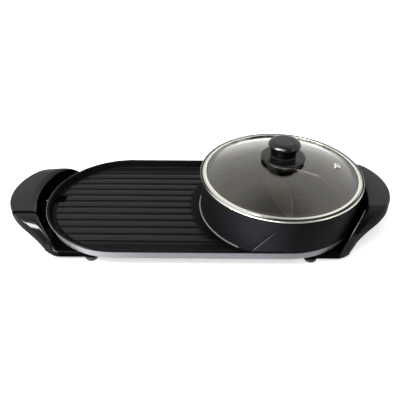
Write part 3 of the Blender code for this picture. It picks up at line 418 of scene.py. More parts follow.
def gusset(side):
    """The straight wall from the low rim up to the pot's rim."""
    outer = side * (PAN_RADIUS - HAIR * 2)
    inner = side * (PAN_RADIUS - GUSSET_THICKNESS)
    outline = rounded([
        (GUSSET_FOOT_X, RIM_TOP - RIM_THICKNESS / 2, 0),
        (GUSSET_FOOT_X, RIM_TOP, 0),
        (GUSSET_HEAD_X, POT_RIM_TOP - RIM_THICKNESS / 2, RIM_WIDTH),
        (POT_X, POT_RIM_TOP - RIM_THICKNESS / 2, 0),
        (POT_X, RIM_TOP - RIM_THICKNESS / 2, 0),
    ])
    return loft(f"gusset_{side}", [[(x, y, z) for x, z in outline] for y in (inner, outer)])


def pot_room():
    """The hollow of the pot."""
    inner = PAN_RADIUS - POT_WALL
    return turned("pot_room", rounded([
        (0, POT_RIM_TOP + OVERRUN, 0),
        (inner + RIM_THICKNESS, POT_RIM_TOP + OVERRUN, 0),
        (inner + RIM_THICKNESS, POT_RIM_TOP + HAIR, 0),
        (inner, POT_RIM_TOP - RIM_THICKNESS, RIM_THICKNESS / 2),
        (inner - POT_TAPER, POT_FLOOR_TOP, POT_CORNER),
        (0, POT_FLOOR_TOP, 0),
    ], closed=False, steps=10), (POT_X, 0))


def divider():
    """The wavy wall, rounded along its top."""
    reach = PAN_RADIUS - POT_WALL * 0.9
    half = DIVIDER_THICKNESS / 2
    low = (POT_FLOOR_TOP + TUB_UNDER) / 2
    foot = DIVIDER_THICKNESS
    shape = rounded([
        (-half - foot, low, 0),
        (-half - foot * 0.7, POT_FLOOR_TOP, 0),
        (-half, POT_FLOOR_TOP + foot, foot * 0.4),
        (-half, DIVIDER_TOP, half * 0.95),
        (half, DIVIDER_TOP, half * 0.95),
        (half, POT_FLOOR_TOP + foot, foot * 0.4),
        (half + foot * 0.7, POT_FLOOR_TOP, 0),
        (half + foot, low, 0),
    ])
    sections = []
    for k in range(END_STEPS + 1):
        y = -reach + 2 * reach * k / END_STEPS
        x = POT_X - DIVIDER_SWING * math.sin(2 * math.pi * y / DIVIDER_WAVE)
        sections.append([(x + a, y, z) for a, z in shape])
    wall = loft("divider", sections)
    keep = turned("divider_reach", [
        (0, POT_RIM_TOP), (reach, POT_RIM_TOP), (reach, RIM_TOP),
        (reach - TUB_DRAFT, TUB_UNDER), (0, TUB_UNDER),
    ], (POT_X, 0))
    return combine(wall, ("INTERSECT", keep))


def drain(room=0):
    """The rounded drain hole through the gutter, with some room around it."""
    length, width = DRAIN_LENGTH / 2 + room, DRAIN_WIDTH / 2 + room
    outline = rounded([(x, y, RIM_WIDTH / 2) for x, y in (
        (-length, -width), (length, -width), (length, width), (-length, width))])
    turn = Matrix.Rotation(DRAIN_TURN, 2)
    middle = Vector((GRILL_END_X + DRAIN_RADIUS * math.cos(DRAIN_TURN), DRAIN_RADIUS * math.sin(DRAIN_TURN)))
    plan = [turn @ Vector(point) + middle for point in outline]
    heights = (TUB_UNDER - OVERRUN, RIM_TOP)
    return loft("drain", [[(p.x, p.y, z) for p in plan] for z in heights])


def pan():
    item = combine(tub(), ("UNION", ribs()), ("UNION", pot_outside()), ("UNION", gusset(-1)),
                   ("UNION", gusset(1)), ("DIFFERENCE", pot_room()), ("UNION", divider()),
                   ("DIFFERENCE", drain()))
    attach(item, "pan")
    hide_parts("cooking_pan")
    return item


def band():
    """The silver shell: a sheet skirt with a turned-in floor flange."""
    outer_top = BAND_HIGH[1]
    outer_bottom = outer_top - BAND_DRAFT
    low, high = BAND_LOW[2], BAND_HIGH[2]
    profile = rounded([
        (outer_top, high, BAND_SHEET / 4),
        (outer_bottom, low, BAND_ROUND),
        (BAND_FLANGE_RADIUS, low, 0),
        (BAND_FLANGE_RADIUS, low + BAND_SHEET, 0),
        (outer_bottom - BAND_SHEET, low + BAND_SHEET, BAND_ROUND / 2),
        (outer_top - BAND_SHEET, high, BAND_SHEET / 4),
    ])
    item = stadium_loft("band_shell", profile, ring=True)
    opening = block("inlet_opening", (POT_X - INLET_HALF_WIDTH, BAND_FLANGE_RADIUS - OVERRUN, low - OVERRUN),
                    (POT_X + INLET_HALF_WIDTH, PAN_RADIUS + OVERRUN, TUB_UNDER))
    combine(item, ("DIFFERENCE", opening), ("DIFFERENCE", drain(BAND_SHEET * 2.5)))
    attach(item, "base")
    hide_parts("side_band")
    return item


# Lid

def dome_curve():
    """Radius of the glass dome's curve."""
    rise = GLASS_HIGH[2] - GLASS_THICKNESS - GLASS_LOW[2]
    return (GLASS_FLANGE_RADIUS ** 2 + rise ** 2) / (2 * rise)


def dome(radius):
    """Height of the glass dome's upper side at a radius."""
    curve = dome_curve()
    return GLASS_HIGH[2] - curve + math.sqrt(curve ** 2 - radius ** 2)


def lid_glass():
    """The domed glass with its vent hole."""
    apex = GLASS_HIGH[2]
    edge = GLASS_HIGH[1]
    rim = GLASS_LOW[2] + GLASS_THICKNESS
    top = []
    for k in range(DOME_STEPS + 1):
        radius = HUB_HOLE + (GLASS_FLANGE_RADIUS - HUB_HOLE) * k / DOME_STEPS
        top.append((radius, dome(radius)))
    top.append((edge - HAIR * 4, rim))
    under = [(radius, height - GLASS_THICKNESS) for radius, height in reversed(top)]
    item = turned("dome_glass", top + [(edge, rim - GLASS_THICKNESS / 2)] + under, (POT_X, 0), ring=True)
    hole = turned("vent_hole", [
        (0, apex + OVERRUN), (VENT_HOLE_RADIUS, apex + OVERRUN),
        (VENT_HOLE_RADIUS, RING_LOW[2]), (0, RING_LOW[2]),
    ], (POT_X + VENT_TURN_RADIUS, 0), SMALL_STEPS)
    combine(item, ("DIFFERENCE", hole))
    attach(item, "lid")
    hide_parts("lid_glass")
    return item


def lid_ring():
    """The steel ring: a bead on the pot's rim, a groove, and a lip over the glass's edge."""
    seat = POT_RIM_TOP + HAIR * 3
    top = RING_HIGH[2]
    low = RING_LOW[2]
    edge = RING_HIGH[1]
    sheet = RING_SHEET
    bead = edge - RING_BEAD_WIDTH
    crest = seat + RING_BEAD_HEIGHT
    inside = RING_SKIRT_RADIUS - sheet
    profile = rounded([
        (RING_LIP_RADIUS, top - sheet, sheet * 0.4),
        (RING_LIP_RADIUS + sheet * 0.3, top - sheet * 0.1, sheet * 0.5),
        (RING_LIP_RADIUS + sheet * 1.1, top, sheet * 1.5),
        (RING_SKIRT_RADIUS - sheet * 0.3, top - sheet * 0.8, sheet * 1.6),
        (RING_SKIRT_RADIUS + sheet * 0.6, seat + sheet, sheet * 0.4),
        (bead, seat + sheet, sheet * 0.4),
        (bead + RING_BEAD_WIDTH / 4, crest, sheet * 0.6),
        (edge - sheet * 0.7, crest - sheet * 0.8, sheet),
        (edge, seat, sheet * 0.5),
        (RING_SKIRT_RADIUS, seat, 0),
        (RING_SKIRT_RADIUS, low, sheet * 0.4),
        (RING_SEAT_RADIUS, low, sheet * 0.4),
        (RING_SEAT_RADIUS, low + sheet, sheet * 0.4),
        (inside, low + sheet, 0),
        (inside, top - sheet, 0),
    ], steps=6)
    item = turned("rolled_ring", profile, (POT_X, 0), ROUND_STEPS, ring=True)
    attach(item, "lid")
    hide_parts("lid_ring")
    return item


def vent():
    """The steel eyelet, standing square to the glass."""
    half = GLASS_THICKNESS / 2 + HAIR * 3
    flange = VENT_FLANGE_RADIUS
    brim = VENT_BRIM
    bore = VENT_BORE_RADIUS
    neck = VENT_HOLE_RADIUS - HAIR * 3
    profile = rounded([
        (bore, half + brim, brim * 0.4), (flange, half + brim, brim * 0.7), (flange, half, brim * 0.2),
        (neck, half, 0), (neck, -half, 0),
        (flange, -half, brim * 0.2), (flange, -half - brim, brim * 0.7), (bore, -half - brim, brim * 0.4),
    ])
    item = turned("vent_eyelet", profile, steps=SMALL_STEPS, ring=True)
    tilt = math.asin(VENT_TURN_RADIUS / dome_curve())
    base = Vector((POT_X + VENT_TURN_RADIUS, 0, dome(VENT_TURN_RADIUS)))
    normal = Vector((math.sin(tilt), 0, math.cos(tilt)))
    place = base - normal * GLASS_THICKNESS / 2
    item.data.transform(Matrix.Translation(place) @ Matrix.Rotation(tilt, 4, "Y"))
    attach(item, "lid")
    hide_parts("steam_vent")
    return item


def knob():
    """The collar disc, the mushroom knob and the boss under the glass."""
    low, high = COLLAR_LOW[2], COLLAR_HIGH[2]
    radius = COLLAR_HIGH[1]
    thick = high - low
    collar = turned("collar_disc", rounded([
        (HUB_HOLE, high, 0),
        (radius - thick, high, thick * 0.5),
        (radius, high - thick * 0.35, thick * 0.3),
        (radius, low + thick * 0.2, thick * 0.2),
        (radius - thick * 0.4, low, thick * 0.2),
        (HUB_HOLE, low, 0),
    ]), (POT_X, 0), KNOB_STEPS, ring=True)
    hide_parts("lid_collar")

    foot, top = KNOB_LOW[2], KNOB_HIGH[2]
    cap = KNOB_HIGH[1]
    brim = top - KNOB_BRIM_DROP
    profile = [(radius, top - drop, corner) for radius, drop, corner in KNOB_CROWN] + [
        (cap, top - KNOB_SHOULDER_DROP, KNOB_SHOULDER_ROUND),
        (cap, brim + KNOB_BRIM_ROUND, KNOB_BRIM_ROUND),
        (KNOB_NECK_RADIUS + HAIR * 4, brim - HAIR * 2, KNOB_BRIM_ROUND),
        (KNOB_NECK_RADIUS - HAIR * 5, brim - KNOB_NECK_DROP, KNOB_NECK_DROP),
        (KNOB_WAIST_RADIUS, foot + KNOB_WAIST_HEIGHT, KNOB_WAIST_ROUND),
        (KNOB_FOOT_RADIUS, foot, HAIR * 2),
        (HUB_HOLE, foot, 0),
        (HUB_HOLE, foot + KNOB_BORE_DEPTH, 0),
        (0, foot + KNOB_BORE_DEPTH, 0),
    ]
    grip = turned("mushroom_knob", rounded(profile, closed=False, steps=7), (POT_X, 0), KNOB_STEPS)
    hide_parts("lid_knob")

    boss_top, boss_low = BOSS_HIGH[2], BOSS_LOW[2]
    boss_radius = BOSS_HIGH[1]
    pocket = BOSS_POCKET_RADIUS
    web = boss_top - BOSS_WEB
    boss = turned("under_boss", rounded([
        (HUB_HOLE, boss_top, 0),
        (boss_radius, boss_top, HAIR * 8),
        (boss_radius * 0.96, boss_low, BOSS_EDGE_ROUND),
        (pocket, boss_low, HAIR * 6),
        (pocket, web, 0),
        (HUB_HOLE, web, 0),
    ]), (POT_X, 0), KNOB_STEPS, ring=True)
    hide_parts("knob_boss")
    for item in (collar, grip, boss):
        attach(item, "lid")
    return collar, grip, boss


# Handles

def lip_height(y, top):
    """Height of the lip: level over the middle, then one round bend down to the arm."""
    fall = min(top - ARM_TOP, EAR_BEND_RADIUS)
    run = math.sqrt(EAR_BEND_RADIUS ** 2 - (EAR_BEND_RADIUS - fall) ** 2)
    past = abs(y) - (ARM_INNER_Y - run)
    if past <= 0:
        return top
    if abs(y) >= ARM_INNER_Y - HAIR:
        return ARM_TOP
    return max(top - EAR_BEND_RADIUS + math.sqrt(max(EAR_BEND_RADIUS ** 2 - past ** 2, 0)), ARM_TOP)


def bend(before, corner, after, radius, steps):
    """Points of a round corner between two straight edges, in plan."""
    path = rounded([(*before, 0), (*corner, radius), (*after, 0)], closed=False, steps=steps)
    return [Vector(point) for point in path[1:-1]]


def rails(side):
    """Inner and outer edges of half a handle in plan, from the arm's end to the ear's middle."""
    inner_radius = side["inner"]
    half_cosine = math.cos(EAR_HALF_TURN)
    ear_radius = (inner_radius + side["shoulder"] - side["reach"] * half_cosine) / (1 - half_cosine)
    ear_x = side["reach"] - ear_radius
    ear_end = Vector((ear_x + ear_radius * half_cosine, ear_radius * math.sin(EAR_HALF_TURN)))
    slope = Vector((-math.sin(EAR_HALF_TURN), math.cos(EAR_HALF_TURN)))
    outer_corner = ear_end + slope * (ARM_OUTER_Y - ear_end.y) / slope.y
    turn = math.asin(ARM_INNER_Y / inner_radius)
    inner_corner = Vector((inner_radius * math.cos(turn), ARM_INNER_Y))
    tangent = Vector((math.sin(turn), -math.cos(turn)))
    steps = 12
    arm_steps = 3
    slope_steps = 12
    ear_steps = 26

    inner_bend = bend((ARM_END_REACH, ARM_INNER_Y), inner_corner, inner_corner + tangent * OUTER_CORNER,
                      INNER_CORNER, steps)
    outer_bend = bend((ARM_END_REACH, ARM_OUTER_Y), outer_corner, ear_end, OUTER_CORNER, steps)
    inner, outer = [], []
    for k in range(arm_steps):
        share = k / arm_steps
        inner.append(Vector((ARM_END_REACH, ARM_INNER_Y)).lerp(inner_bend[0], share))
        outer.append(Vector((ARM_END_REACH, ARM_OUTER_Y)).lerp(outer_bend[0], share))
    inner += inner_bend
    outer += outer_bend
    last = inner_bend[-1]
    after_turn = math.atan2(last.y, last.x)
    ear_turn = math.asin(ear_end.y / inner_radius)
    start_radius = last.length
    for k in range(1, slope_steps + 1):
        share = k / slope_steps
        angle = after_turn + (ear_turn - after_turn) * share
        radius = start_radius + (inner_radius - start_radius) * min(1, share * 3)
        inner.append(radius * Vector((math.cos(angle), math.sin(angle))))
        outer.append(outer_bend[-1].lerp(ear_end, share))
    for k in range(1, ear_steps + 1):
        share = 1 - k / ear_steps
        inner.append(inner_radius * Vector((math.cos(ear_turn * share), math.sin(ear_turn * share))))
        angle = EAR_HALF_TURN * share
        outer.append(Vector((ear_x + ear_radius * math.cos(angle), ear_radius * math.sin(angle))))
    return inner, outer


def handle_section(inner, outer, side):
    """An inverted channel between the two edges."""
    across = outer - inner
    width = across.length
    along = across / width
    share = min(1, (width - (ARM_OUTER_Y - ARM_INNER_Y)) / (3 * ROLL_WIDTH))
    roll = min(ROLL_WIDTH, width * 0.30)
    top = lip_height(inner.y, side["top"])
    outer_top = lip_height(outer.y, side["top"])
    drop = ARM_ROLL_DROP + (ROLL_DROP - ARM_ROLL_DROP) * share
    edge = outer_top - EAR_EDGE_SHARE * (width - roll)
    wall = min(HANDLE_WALL, width / 3)
    round_out = min(EAR_EDGE_ROUND, width * 0.25)
    foot = max(ARM_BOTTOM, outer_top - side["skirt"])
    shape = rounded([
        (0, ARM_BOTTOM, 0),
        (0, top - drop, HAIR * 6),
        (roll * 0.30, top - drop * 0.42, roll * 0.4),
        (roll, top, roll * 0.6),
        (width, edge, round_out),
        (width, foot, HAIR * 4),
        (width - wall, foot, HAIR * 4),
        (width - wall, edge - HANDLE_WALL, round_out * 0.5),
        (wall, top - drop - HANDLE_WALL * 0.4, wall * 0.3),
        (wall, ARM_BOTTOM, 0),
    ], steps=5)
    points = []
    for a, z in shape:
        place = inner + along * a
        points.append((side["centre_x"] + side["sign"] * place.x, place.y, z))
    return points


def handle(name):
    """One end moulding: arms, raised ear, floor web and screw pillars."""
    side = SIDES[name]
    inner, outer = rails(side)
    half = list(zip(inner, outer))
    mirrored = [(Vector((a.x, -a.y)), Vector((b.x, -b.y))) for a, b in reversed(half[:-1])]
    sections = [handle_section(a, b, side) for a, b in half + mirrored]
    item = loft(f"{name}_moulding", sections)

    middle = side["inner"] + HANDLE_WALL / 2
    edge_y = ARM_INNER_Y + HANDLE_WALL / 2
    turn = math.asin(edge_y / middle)
    plan = [(WEB_INNER_REACH, -WEB_TAB_SIDE), (WEB_TAB_REACH, -WEB_TAB_SIDE), (WEB_TAB_REACH, -edge_y)]
    for k in range(END_STEPS + 1):
        angle = -turn + 2 * turn * k / END_STEPS
        plan.append((middle * math.cos(angle), middle * math.sin(angle)))
    plan += [(WEB_TAB_REACH, edge_y), (WEB_TAB_REACH, WEB_TAB_SIDE), (WEB_INNER_REACH, WEB_TAB_SIDE)]
    plan = [(side["centre_x"] + side["sign"] * x, y) for x, y in plan]
    levels = (ARM_BOTTOM + HAIR, ARM_BOTTOM + WEB_THICKNESS)
    steps = [("UNION", loft(f"{name}_web", [[(x, y, z) for x, y in plan] for z in levels]))]
    pillar_foot = ARM_BOTTOM + HAIR * 5
    for sign in (-1, 1):
        centre = (side["centre_x"] + side["sign"] * PILLAR_REACH, sign * PILLAR_Y)
        pillar = turned(f"{name}_pillar_{sign}", [
            (0, ARM_TOP), (PILLAR_RADIUS, ARM_TOP), (PILLAR_RADIUS, pillar_foot), (0, pillar_foot),
        ], centre, SMALL_STEPS)
        steps.append(("UNION", pillar))
    if name == "left":
        reach = side["inner"] + OVERRUN / 2
        steps.append(("DIFFERENCE", block(
            "tray_slot", (side["centre_x"] - reach, -TRAY_SLOT_HALF, TRAY_SLOT_LOW),
            (side["centre_x"] - side["inner"] + OVERRUN, TRAY_SLOT_HALF, TRAY_SLOT_HIGH))))
    combine(item, *steps)
    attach(item, "base")
    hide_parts(f"{name}_handle")
    return item


def feet():
    """Rubber feet with a rounded tread."""
    items = []
    for name in frame["nodes"]:
        if not name.startswith("foot_"):
            continue
        low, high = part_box(name)
        centre = ((low[0] + high[0]) / 2, (low[1] + high[1]) / 2)
        radius = (high[0] - low[0]) / 2
        item = turned(f"rubber_{name}", rounded([
            (0, high[2], 0),
            (radius, high[2], radius * 0.06),
            (radius * 0.90, low[2], radius * 0.22),
            (radius * 0.55, low[2], 0),
            (radius * 0.45, low[2] + radius * 0.08, 0),
            (0, low[2] + radius * 0.08, 0),
        ], closed=False), centre, SMALL_STEPS)
        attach(item, "base")
        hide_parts(name)
        items.append(item)
    return items


# Finishes

class Term:
    """A shader socket that takes part in plain arithmetic."""

    def __init__(self, finish, socket):
        self.finish = finish
        self.socket = socket

    def maths(self, operation, *others):
        """A Math node on the given terms."""
        return self.finish.node("ShaderNodeMath", {"operation": operation}, dict(enumerate(others)))

    def __add__(self, other):
        return self.maths("ADD", self, other)

    def __radd__(self, other):
        return self.maths("ADD", other, self)

    def __sub__(self, other):
        return self.maths("SUBTRACT", self, other)

    def __rsub__(self, other):
        return self.maths("SUBTRACT", other, self)

    def __mul__(self, other):
        return self.maths("MULTIPLY", self, other)

    def __rmul__(self, other):
        return self.maths("MULTIPLY", other, self)

    def __pow__(self, other):
        return self.maths("POWER", self, other)

    def above(self, level, width):
        """Rises from 0 to 1 over a width centred on a level."""
        return self.finish.node("ShaderNodeMapRange", {"interpolation_type": "SMOOTHSTEP"}, {
            "Value": self, "From Min": level - width / 2, "From Max": level + width / 2})

    def between(self, low, high, width):
        """1 between two levels, with soft ends."""
        return self.above(low, width) * (1 - self.above(high, width))


class Finish:
    """One surface finish: a Principled shader with its node-made detail."""

    def __init__(self, name, **values):
        self.material = bpy.data.materials.new(name)
        self.material.use_nodes = True
        self.tree = self.material.node_tree
        self.shader = self.tree.nodes["Principled BSDF"]
        for key, value in values.items():
            self.shader.inputs[key.replace("_", " ")].default_value = value
        self.place = self.node("ShaderNodeTexCoord", output="Object")
        self.x, self.y, self.z = self.split(self.place)

    @classmethod
    def on_tree(cls, tree):
        """The same ways to add nodes, on another node tree."""
        finish = cls.__new__(cls)
        finish.tree = tree
        return finish

    def node(self, kind, settings=None, inputs=None, output=0):
        """Any other node, from its type, its settings and the values or links of its sockets."""
        item = self.tree.nodes.new(kind)
        for key, value in (settings or {}).items():
            setattr(item, key, value)
        for key, value in (inputs or {}).items():
            if isinstance(value, Term):
                self.tree.links.new(value.socket, item.inputs[key])
            else:
                item.inputs[key].default_value = value
        return Term(self, item.outputs[output])

    def split(self, vector):
        """The three parts of a vector."""
        first = self.node("ShaderNodeSeparateXYZ", {}, {0: vector})
        return [Term(self, socket) for socket in first.socket.node.outputs]

    def facing_up(self):
        """How far the surface faces up, from -1 to 1."""
        return self.split(self.node("ShaderNodeNewGeometry", output="Normal"))[2]

    def off_axis(self, x):
        """Distance from an upright axis through a place on the long middle line."""
        return ((self.x - x) ** 2 + self.y ** 2) ** 0.5

    def feed(self, socket, term):
        """Links a term to one of the shader's inputs."""
        self.tree.links.new(term.socket, self.shader.inputs[socket])

    def stretched(self, across, along, up):
        """Object coordinates scaled along each axis, in repeats per metre."""
        return self.node("ShaderNodeMapping", {}, {"Vector": self.place, "Scale": (across, along, up)})

    def noise(self, scale, detail=2, roughness=0.5, vector=None):
        """Noise over the object, from 0 to 1, with its scale in repeats per metre."""
        return self.node("ShaderNodeTexNoise", {"noise_dimensions": "3D"}, {
            "Vector": vector or self.place, "Scale": scale, "Detail": detail, "Roughness": roughness})

    def blend(self, factor, one, other):
        """A colour between two colours."""
        pair = {"Factor": factor, 6: one if isinstance(one, Term) else (*one, 1),
                7: other if isinstance(other, Term) else (*other, 1)}
        return self.node("ShaderNodeMix", {"data_type": "RGBA"}, pair, output=2)

    def bump(self, height, distance, strength=1):
        """Relief from a height, over a distance in metres."""
        self.feed("Normal", self.node("ShaderNodeBump", {}, {
            "Height": height, "Distance": distance, "Strength": strength}))


def gloss_black(name, tint, roughness, gloss):
    """Gloss black moulded plastic with a faint ripple, a painted highlight line along the handles' inner lip,
    and painted shade as less coat gloss on outward faces, in the recesses and where an ear turns down.
    """
    finish = Finish(name, Specular_IOR_Level=0, Coat_IOR=1.5, Coat_Roughness=roughness)
    broad = finish.noise(38, 2)
    fine = finish.noise(900, 3, 0.6)
    nearer = 0 - finish.y
    lip = 0
    sunk = 0
    for side, glint in (("left", 0.25), ("right", 1)):
        side = SIDES[side]
        reach = finish.off_axis(side["centre_x"])
        half = (finish.x * side["sign"]).above(0, HAIR)
        sunk = sunk + half * (1 - reach.above(side["inner"] + HAIR * 3, HAIR * 2))
        # Painted highlight: a light grey line along the inner lip edge, for the light its rounding catches;
        # full on the right handle, a quarter on the left
        lip = lip + glint * half * reach.between(side["inner"] - HAIR * 3, side["inner"] + HAIR * 12, HAIR * 4)
    lip = lip * nearer.between(LIP_GLINT_Y, ARM_INNER_Y - HAIR * 15, LIP_GLINT_FADE)
    lip = lip * finish.z.above(ARM_TOP, HAIR * 20)
    shade = finish.blend(broad, tint, [c * 1.5 for c in tint])
    finish.feed("Base Color", finish.blend(lip, shade, (0.22, 0.22, 0.21)))
    finish.feed("Roughness", 0.5 + 0.1 * fine)
    on_right = finish.x.above(0, HAIR)
    # Painted shade: less coat gloss along a band where the left ear turns down, for a dark line, and over the
    # right ear's down-turned face
    crease = nearer.between(CREASE_Y - HAIR * 5, CREASE_Y + HAIR * 55, HAIR * 10) * (1 - on_right)
    turned_down = nearer.above(CREASE_Y, HAIR * 20) * on_right
    on_ear = finish.z.above(EAR_LOW, HAIR * 10)
    # Painted shade: less coat gloss on outward faces and in the sunk recesses below the pot's rim
    outward = 1 - finish.facing_up().above(0.35, 0.5)
    low_down = 1 - finish.z.above(POT_RIM_TOP, HAIR)
    dimmed_gloss = 1 - on_ear * (0.95 * crease + 0.45 * turned_down)
    open_to_light = (1 - 0.75 * outward) * (1 - 0.9 * sunk * low_down)
    finish.feed("Coat Weight", (gloss - 0.10 * broad) * dimmed_gloss * open_to_light)
    finish.bump(fine * 0.3 + finish.noise(140, 1) * 0.7, 0.00006, 0.5)
    return finish.material


def non_stick():
    """Dark sprayed coating: a satin sheen on the griddle and a duller pot wall, with painted light and shade:
    a highlight patch and a darker right side on the pot wall, lighter inner walls, a near-black drain hole
    and highlight lines along fine edges.
    """
    finish = Finish("non_stick_coating", IOR=1.5, Specular_IOR_Level=0.04, Coat_IOR=1.5, Coat_Roughness=0.30)
    grain = finish.noise(2600, 2, 0.7)
    cloud = finish.noise(22, 3, 0.5)
    speck = finish.noise(1500, 1).above(0.70, 0.06)
    level = finish.facing_up().above(0.45, 0.5)
    pot_reach = finish.off_axis(POT_X)
    inside = 1 - pot_reach.above(PAN_RADIUS - POT_WALL / 2, HAIR)
    griddle = (1 - finish.z.above(RIM_TOP + RIM_THICKNESS, RIM_THICKNESS)) * pot_reach.above(PAN_RADIUS, HAIR)
    # Painted shade: the outer pot wall darker towards the right
    right = finish.x.above(POT_X - PAN_RADIUS / 3, PAN_RADIUS)
    wall = finish.blend(right, (0.0056, 0.0056, 0.0058), (0.0010, 0.0010, 0.0018))
    # Painted highlight: a soft lighter patch on the pot wall, left of its middle
    sheen = finish.x.between(POT_X - PAN_RADIUS * 0.62, POT_X - PAN_RADIUS * 0.12, PAN_RADIUS * 0.5)
    wall = finish.blend(sheen, wall, (0.0140, 0.0146, 0.0170))
    flat = finish.blend(cloud, (0.0017, 0.0017, 0.0017), (0.0026, 0.0026, 0.0026))
    beside_pot = 1 - pot_reach.above(PAN_RADIUS + GROOVE_POT_MARGIN, GROOVE_POT_MARGIN)
    flat = finish.blend(beside_pot, flat, (0.0008, 0.0008, 0.0008))
    shade = finish.blend(griddle, wall, flat)
    # Painted light: inside the pot the walls are much lighter than the floor
    room = finish.blend(level, (0.0300, 0.0290, 0.0240), (0.0050, 0.0047, 0.0038))
    shade = finish.blend(inside, shade, room)
    shade = finish.blend(speck * 0.4, shade, (0.014, 0.014, 0.014))
    # Painted shade: the coating inside the drain hole, below the gutter floor, made near black
    by_drain = 1 - finish.off_axis(GRILL_END_X - DRAIN_RADIUS).above(DRAIN_WIDTH * 1.3, HAIR * 20)
    hole = by_drain * (1 - finish.z.above(GUTTER_FLOOR - HAIR * 8, HAIR * 6))
    shade = finish.blend(hole, shade, (0.0005, 0.0005, 0.0005))

    # Painted highlights: light grey lines along the pot's foot bead, the gusset's sloping edge, the left
    # rim's outer edge and the divider's top, where these edges catch the light
    bead_line = pot_reach.between(PAN_RADIUS + BEAD_OUT * 0.35, PAN_RADIUS + BEAD_OUT * 1.2, HAIR * 4)
    bead_line = bead_line * finish.z.above(RIB_TOP + BEAD_HEIGHT * 0.5, HAIR * 4) * finish.z.between(
        RIB_TOP, RIM_TOP, HAIR) * (1 - finish.x.above(GUSSET_FOOT_X - GUTTER_FLOOR * 0.75, RIM_WIDTH))
    climb = (POT_RIM_TOP - RIM_TOP) / (GUSSET_HEAD_X - GUSSET_FOOT_X)
    rise = finish.z - RIM_TOP - (finish.x - GUSSET_FOOT_X) * climb
    edge_line = rise.between(-RIM_THICKNESS * 0.3, RIM_THICKNESS * 0.8, HAIR * 4) * finish.z.between(
        RIM_TOP + RIM_WIDTH, POT_RIM_TOP * 0.84, RIM_WIDTH)
    edge_line = edge_line * (1 - finish.y.above(HAIR - PAN_RADIUS + RIM_THICKNESS / 2, HAIR * 4))
    rim_reach = finish.off_axis(GRILL_END_X)
    rim_line = rim_reach.between(PAN_RADIUS - HAIR * 9, PAN_RADIUS + HAIR, HAIR * 4) * (
        1 - finish.x.above(GRILL_END_X - PAN_RADIUS * 0.35, PAN_RADIUS * 0.4)) * finish.z.above(
            RIM_TOP - RIM_THICKNESS * 0.6, HAIR * 4)
    crest = finish.z.between(DIVIDER_TOP - HAIR * 9, DIVIDER_TOP + HAIR, HAIR * 6) * inside
    edge_glints = (bead_line * 0.9 + edge_line * 0.9 + rim_line * 0.7 + crest * 0.35).above(0.5, 1)
    finish.feed("Base Color", finish.blend(edge_glints, shade, (0.115, 0.115, 0.112)))
    # Painted shade: coat gloss only on the rib crowns, away from the pot and the outer grooves, so the
    # grooves and flats beside them read darker
    crowns = finish.z.between(
        RIB_TOP - GROOVE_DEPTH * 0.25, RIB_TOP + GROOVE_DEPTH * 0.25, GROOVE_DEPTH * 0.3)
    crowns = crowns * finish.facing_up().above(0.92, 0.10)
    crowns = crowns * pot_reach.above(PAN_RADIUS + GROOVE_POT_MARGIN * 1.1, GROOVE_POT_MARGIN * 0.4)
    last_groove = GROOVE_PITCH * (GROOVE_COUNT - 1) / 2
    crowns = crowns * (1 - (finish.y ** 2).above((last_groove + GROOVE_WIDTH) ** 2, 0.0006))
    corner = pot_reach.above(PAN_RADIUS - POT_WALL - POT_TAPER - POT_CORNER, HAIR * 20) * (
        1 - finish.z.above(POT_FLOOR_TOP + POT_CORNER * 0.9, POT_CORNER * 0.4))
    smooth = 0.08 * finish.z.above(DIVIDER_TOP - DIVIDER_THICKNESS, DIVIDER_THICKNESS) + 0.5 * corner
    finish.feed("Coat Weight", level * griddle * (0.03 + 0.34 * crowns) + inside * smooth)
    finish.feed("Roughness", 0.40 + 0.10 * cloud + 0.10 * grain)
    finish.bump(grain, 0.00012, 0.55)
    return finish.material


def silver_paint():
    """Silver-grey metallic paint with fine flakes and a faint upright streak, painted darker at the right end
    and lighter at the left end as painted shade and light.
    """
    finish = Finish("silver_paint", Metallic=0.35, IOR=1.45)
    flake = finish.noise(5200, 1, 0.8)
    streak = finish.noise(1, 3, 0.6, finish.stretched(60, 60, 4))
    base = finish.blend(streak, (0.126, 0.135, 0.149), (0.168, 0.178, 0.194))
    # Painted shade and light: darker towards the right end, lighter towards the left end
    base = finish.blend(finish.x.above(POT_X, PAN_RADIUS), base, (0.084, 0.088, 0.096))
    left = 1 - finish.x.above(GRILL_END_X, PAN_RADIUS)
    base = finish.blend(left * 0.6, base, (0.40, 0.41, 0.42))
    finish.feed("Base Color", finish.blend(flake.above(0.62, 0.1) * 0.35, base, (0.32, 0.33, 0.35)))
    finish.feed("Roughness", 0.34 + 0.12 * streak)
    finish.bump(flake, 0.00003, 0.3)
    return finish.material


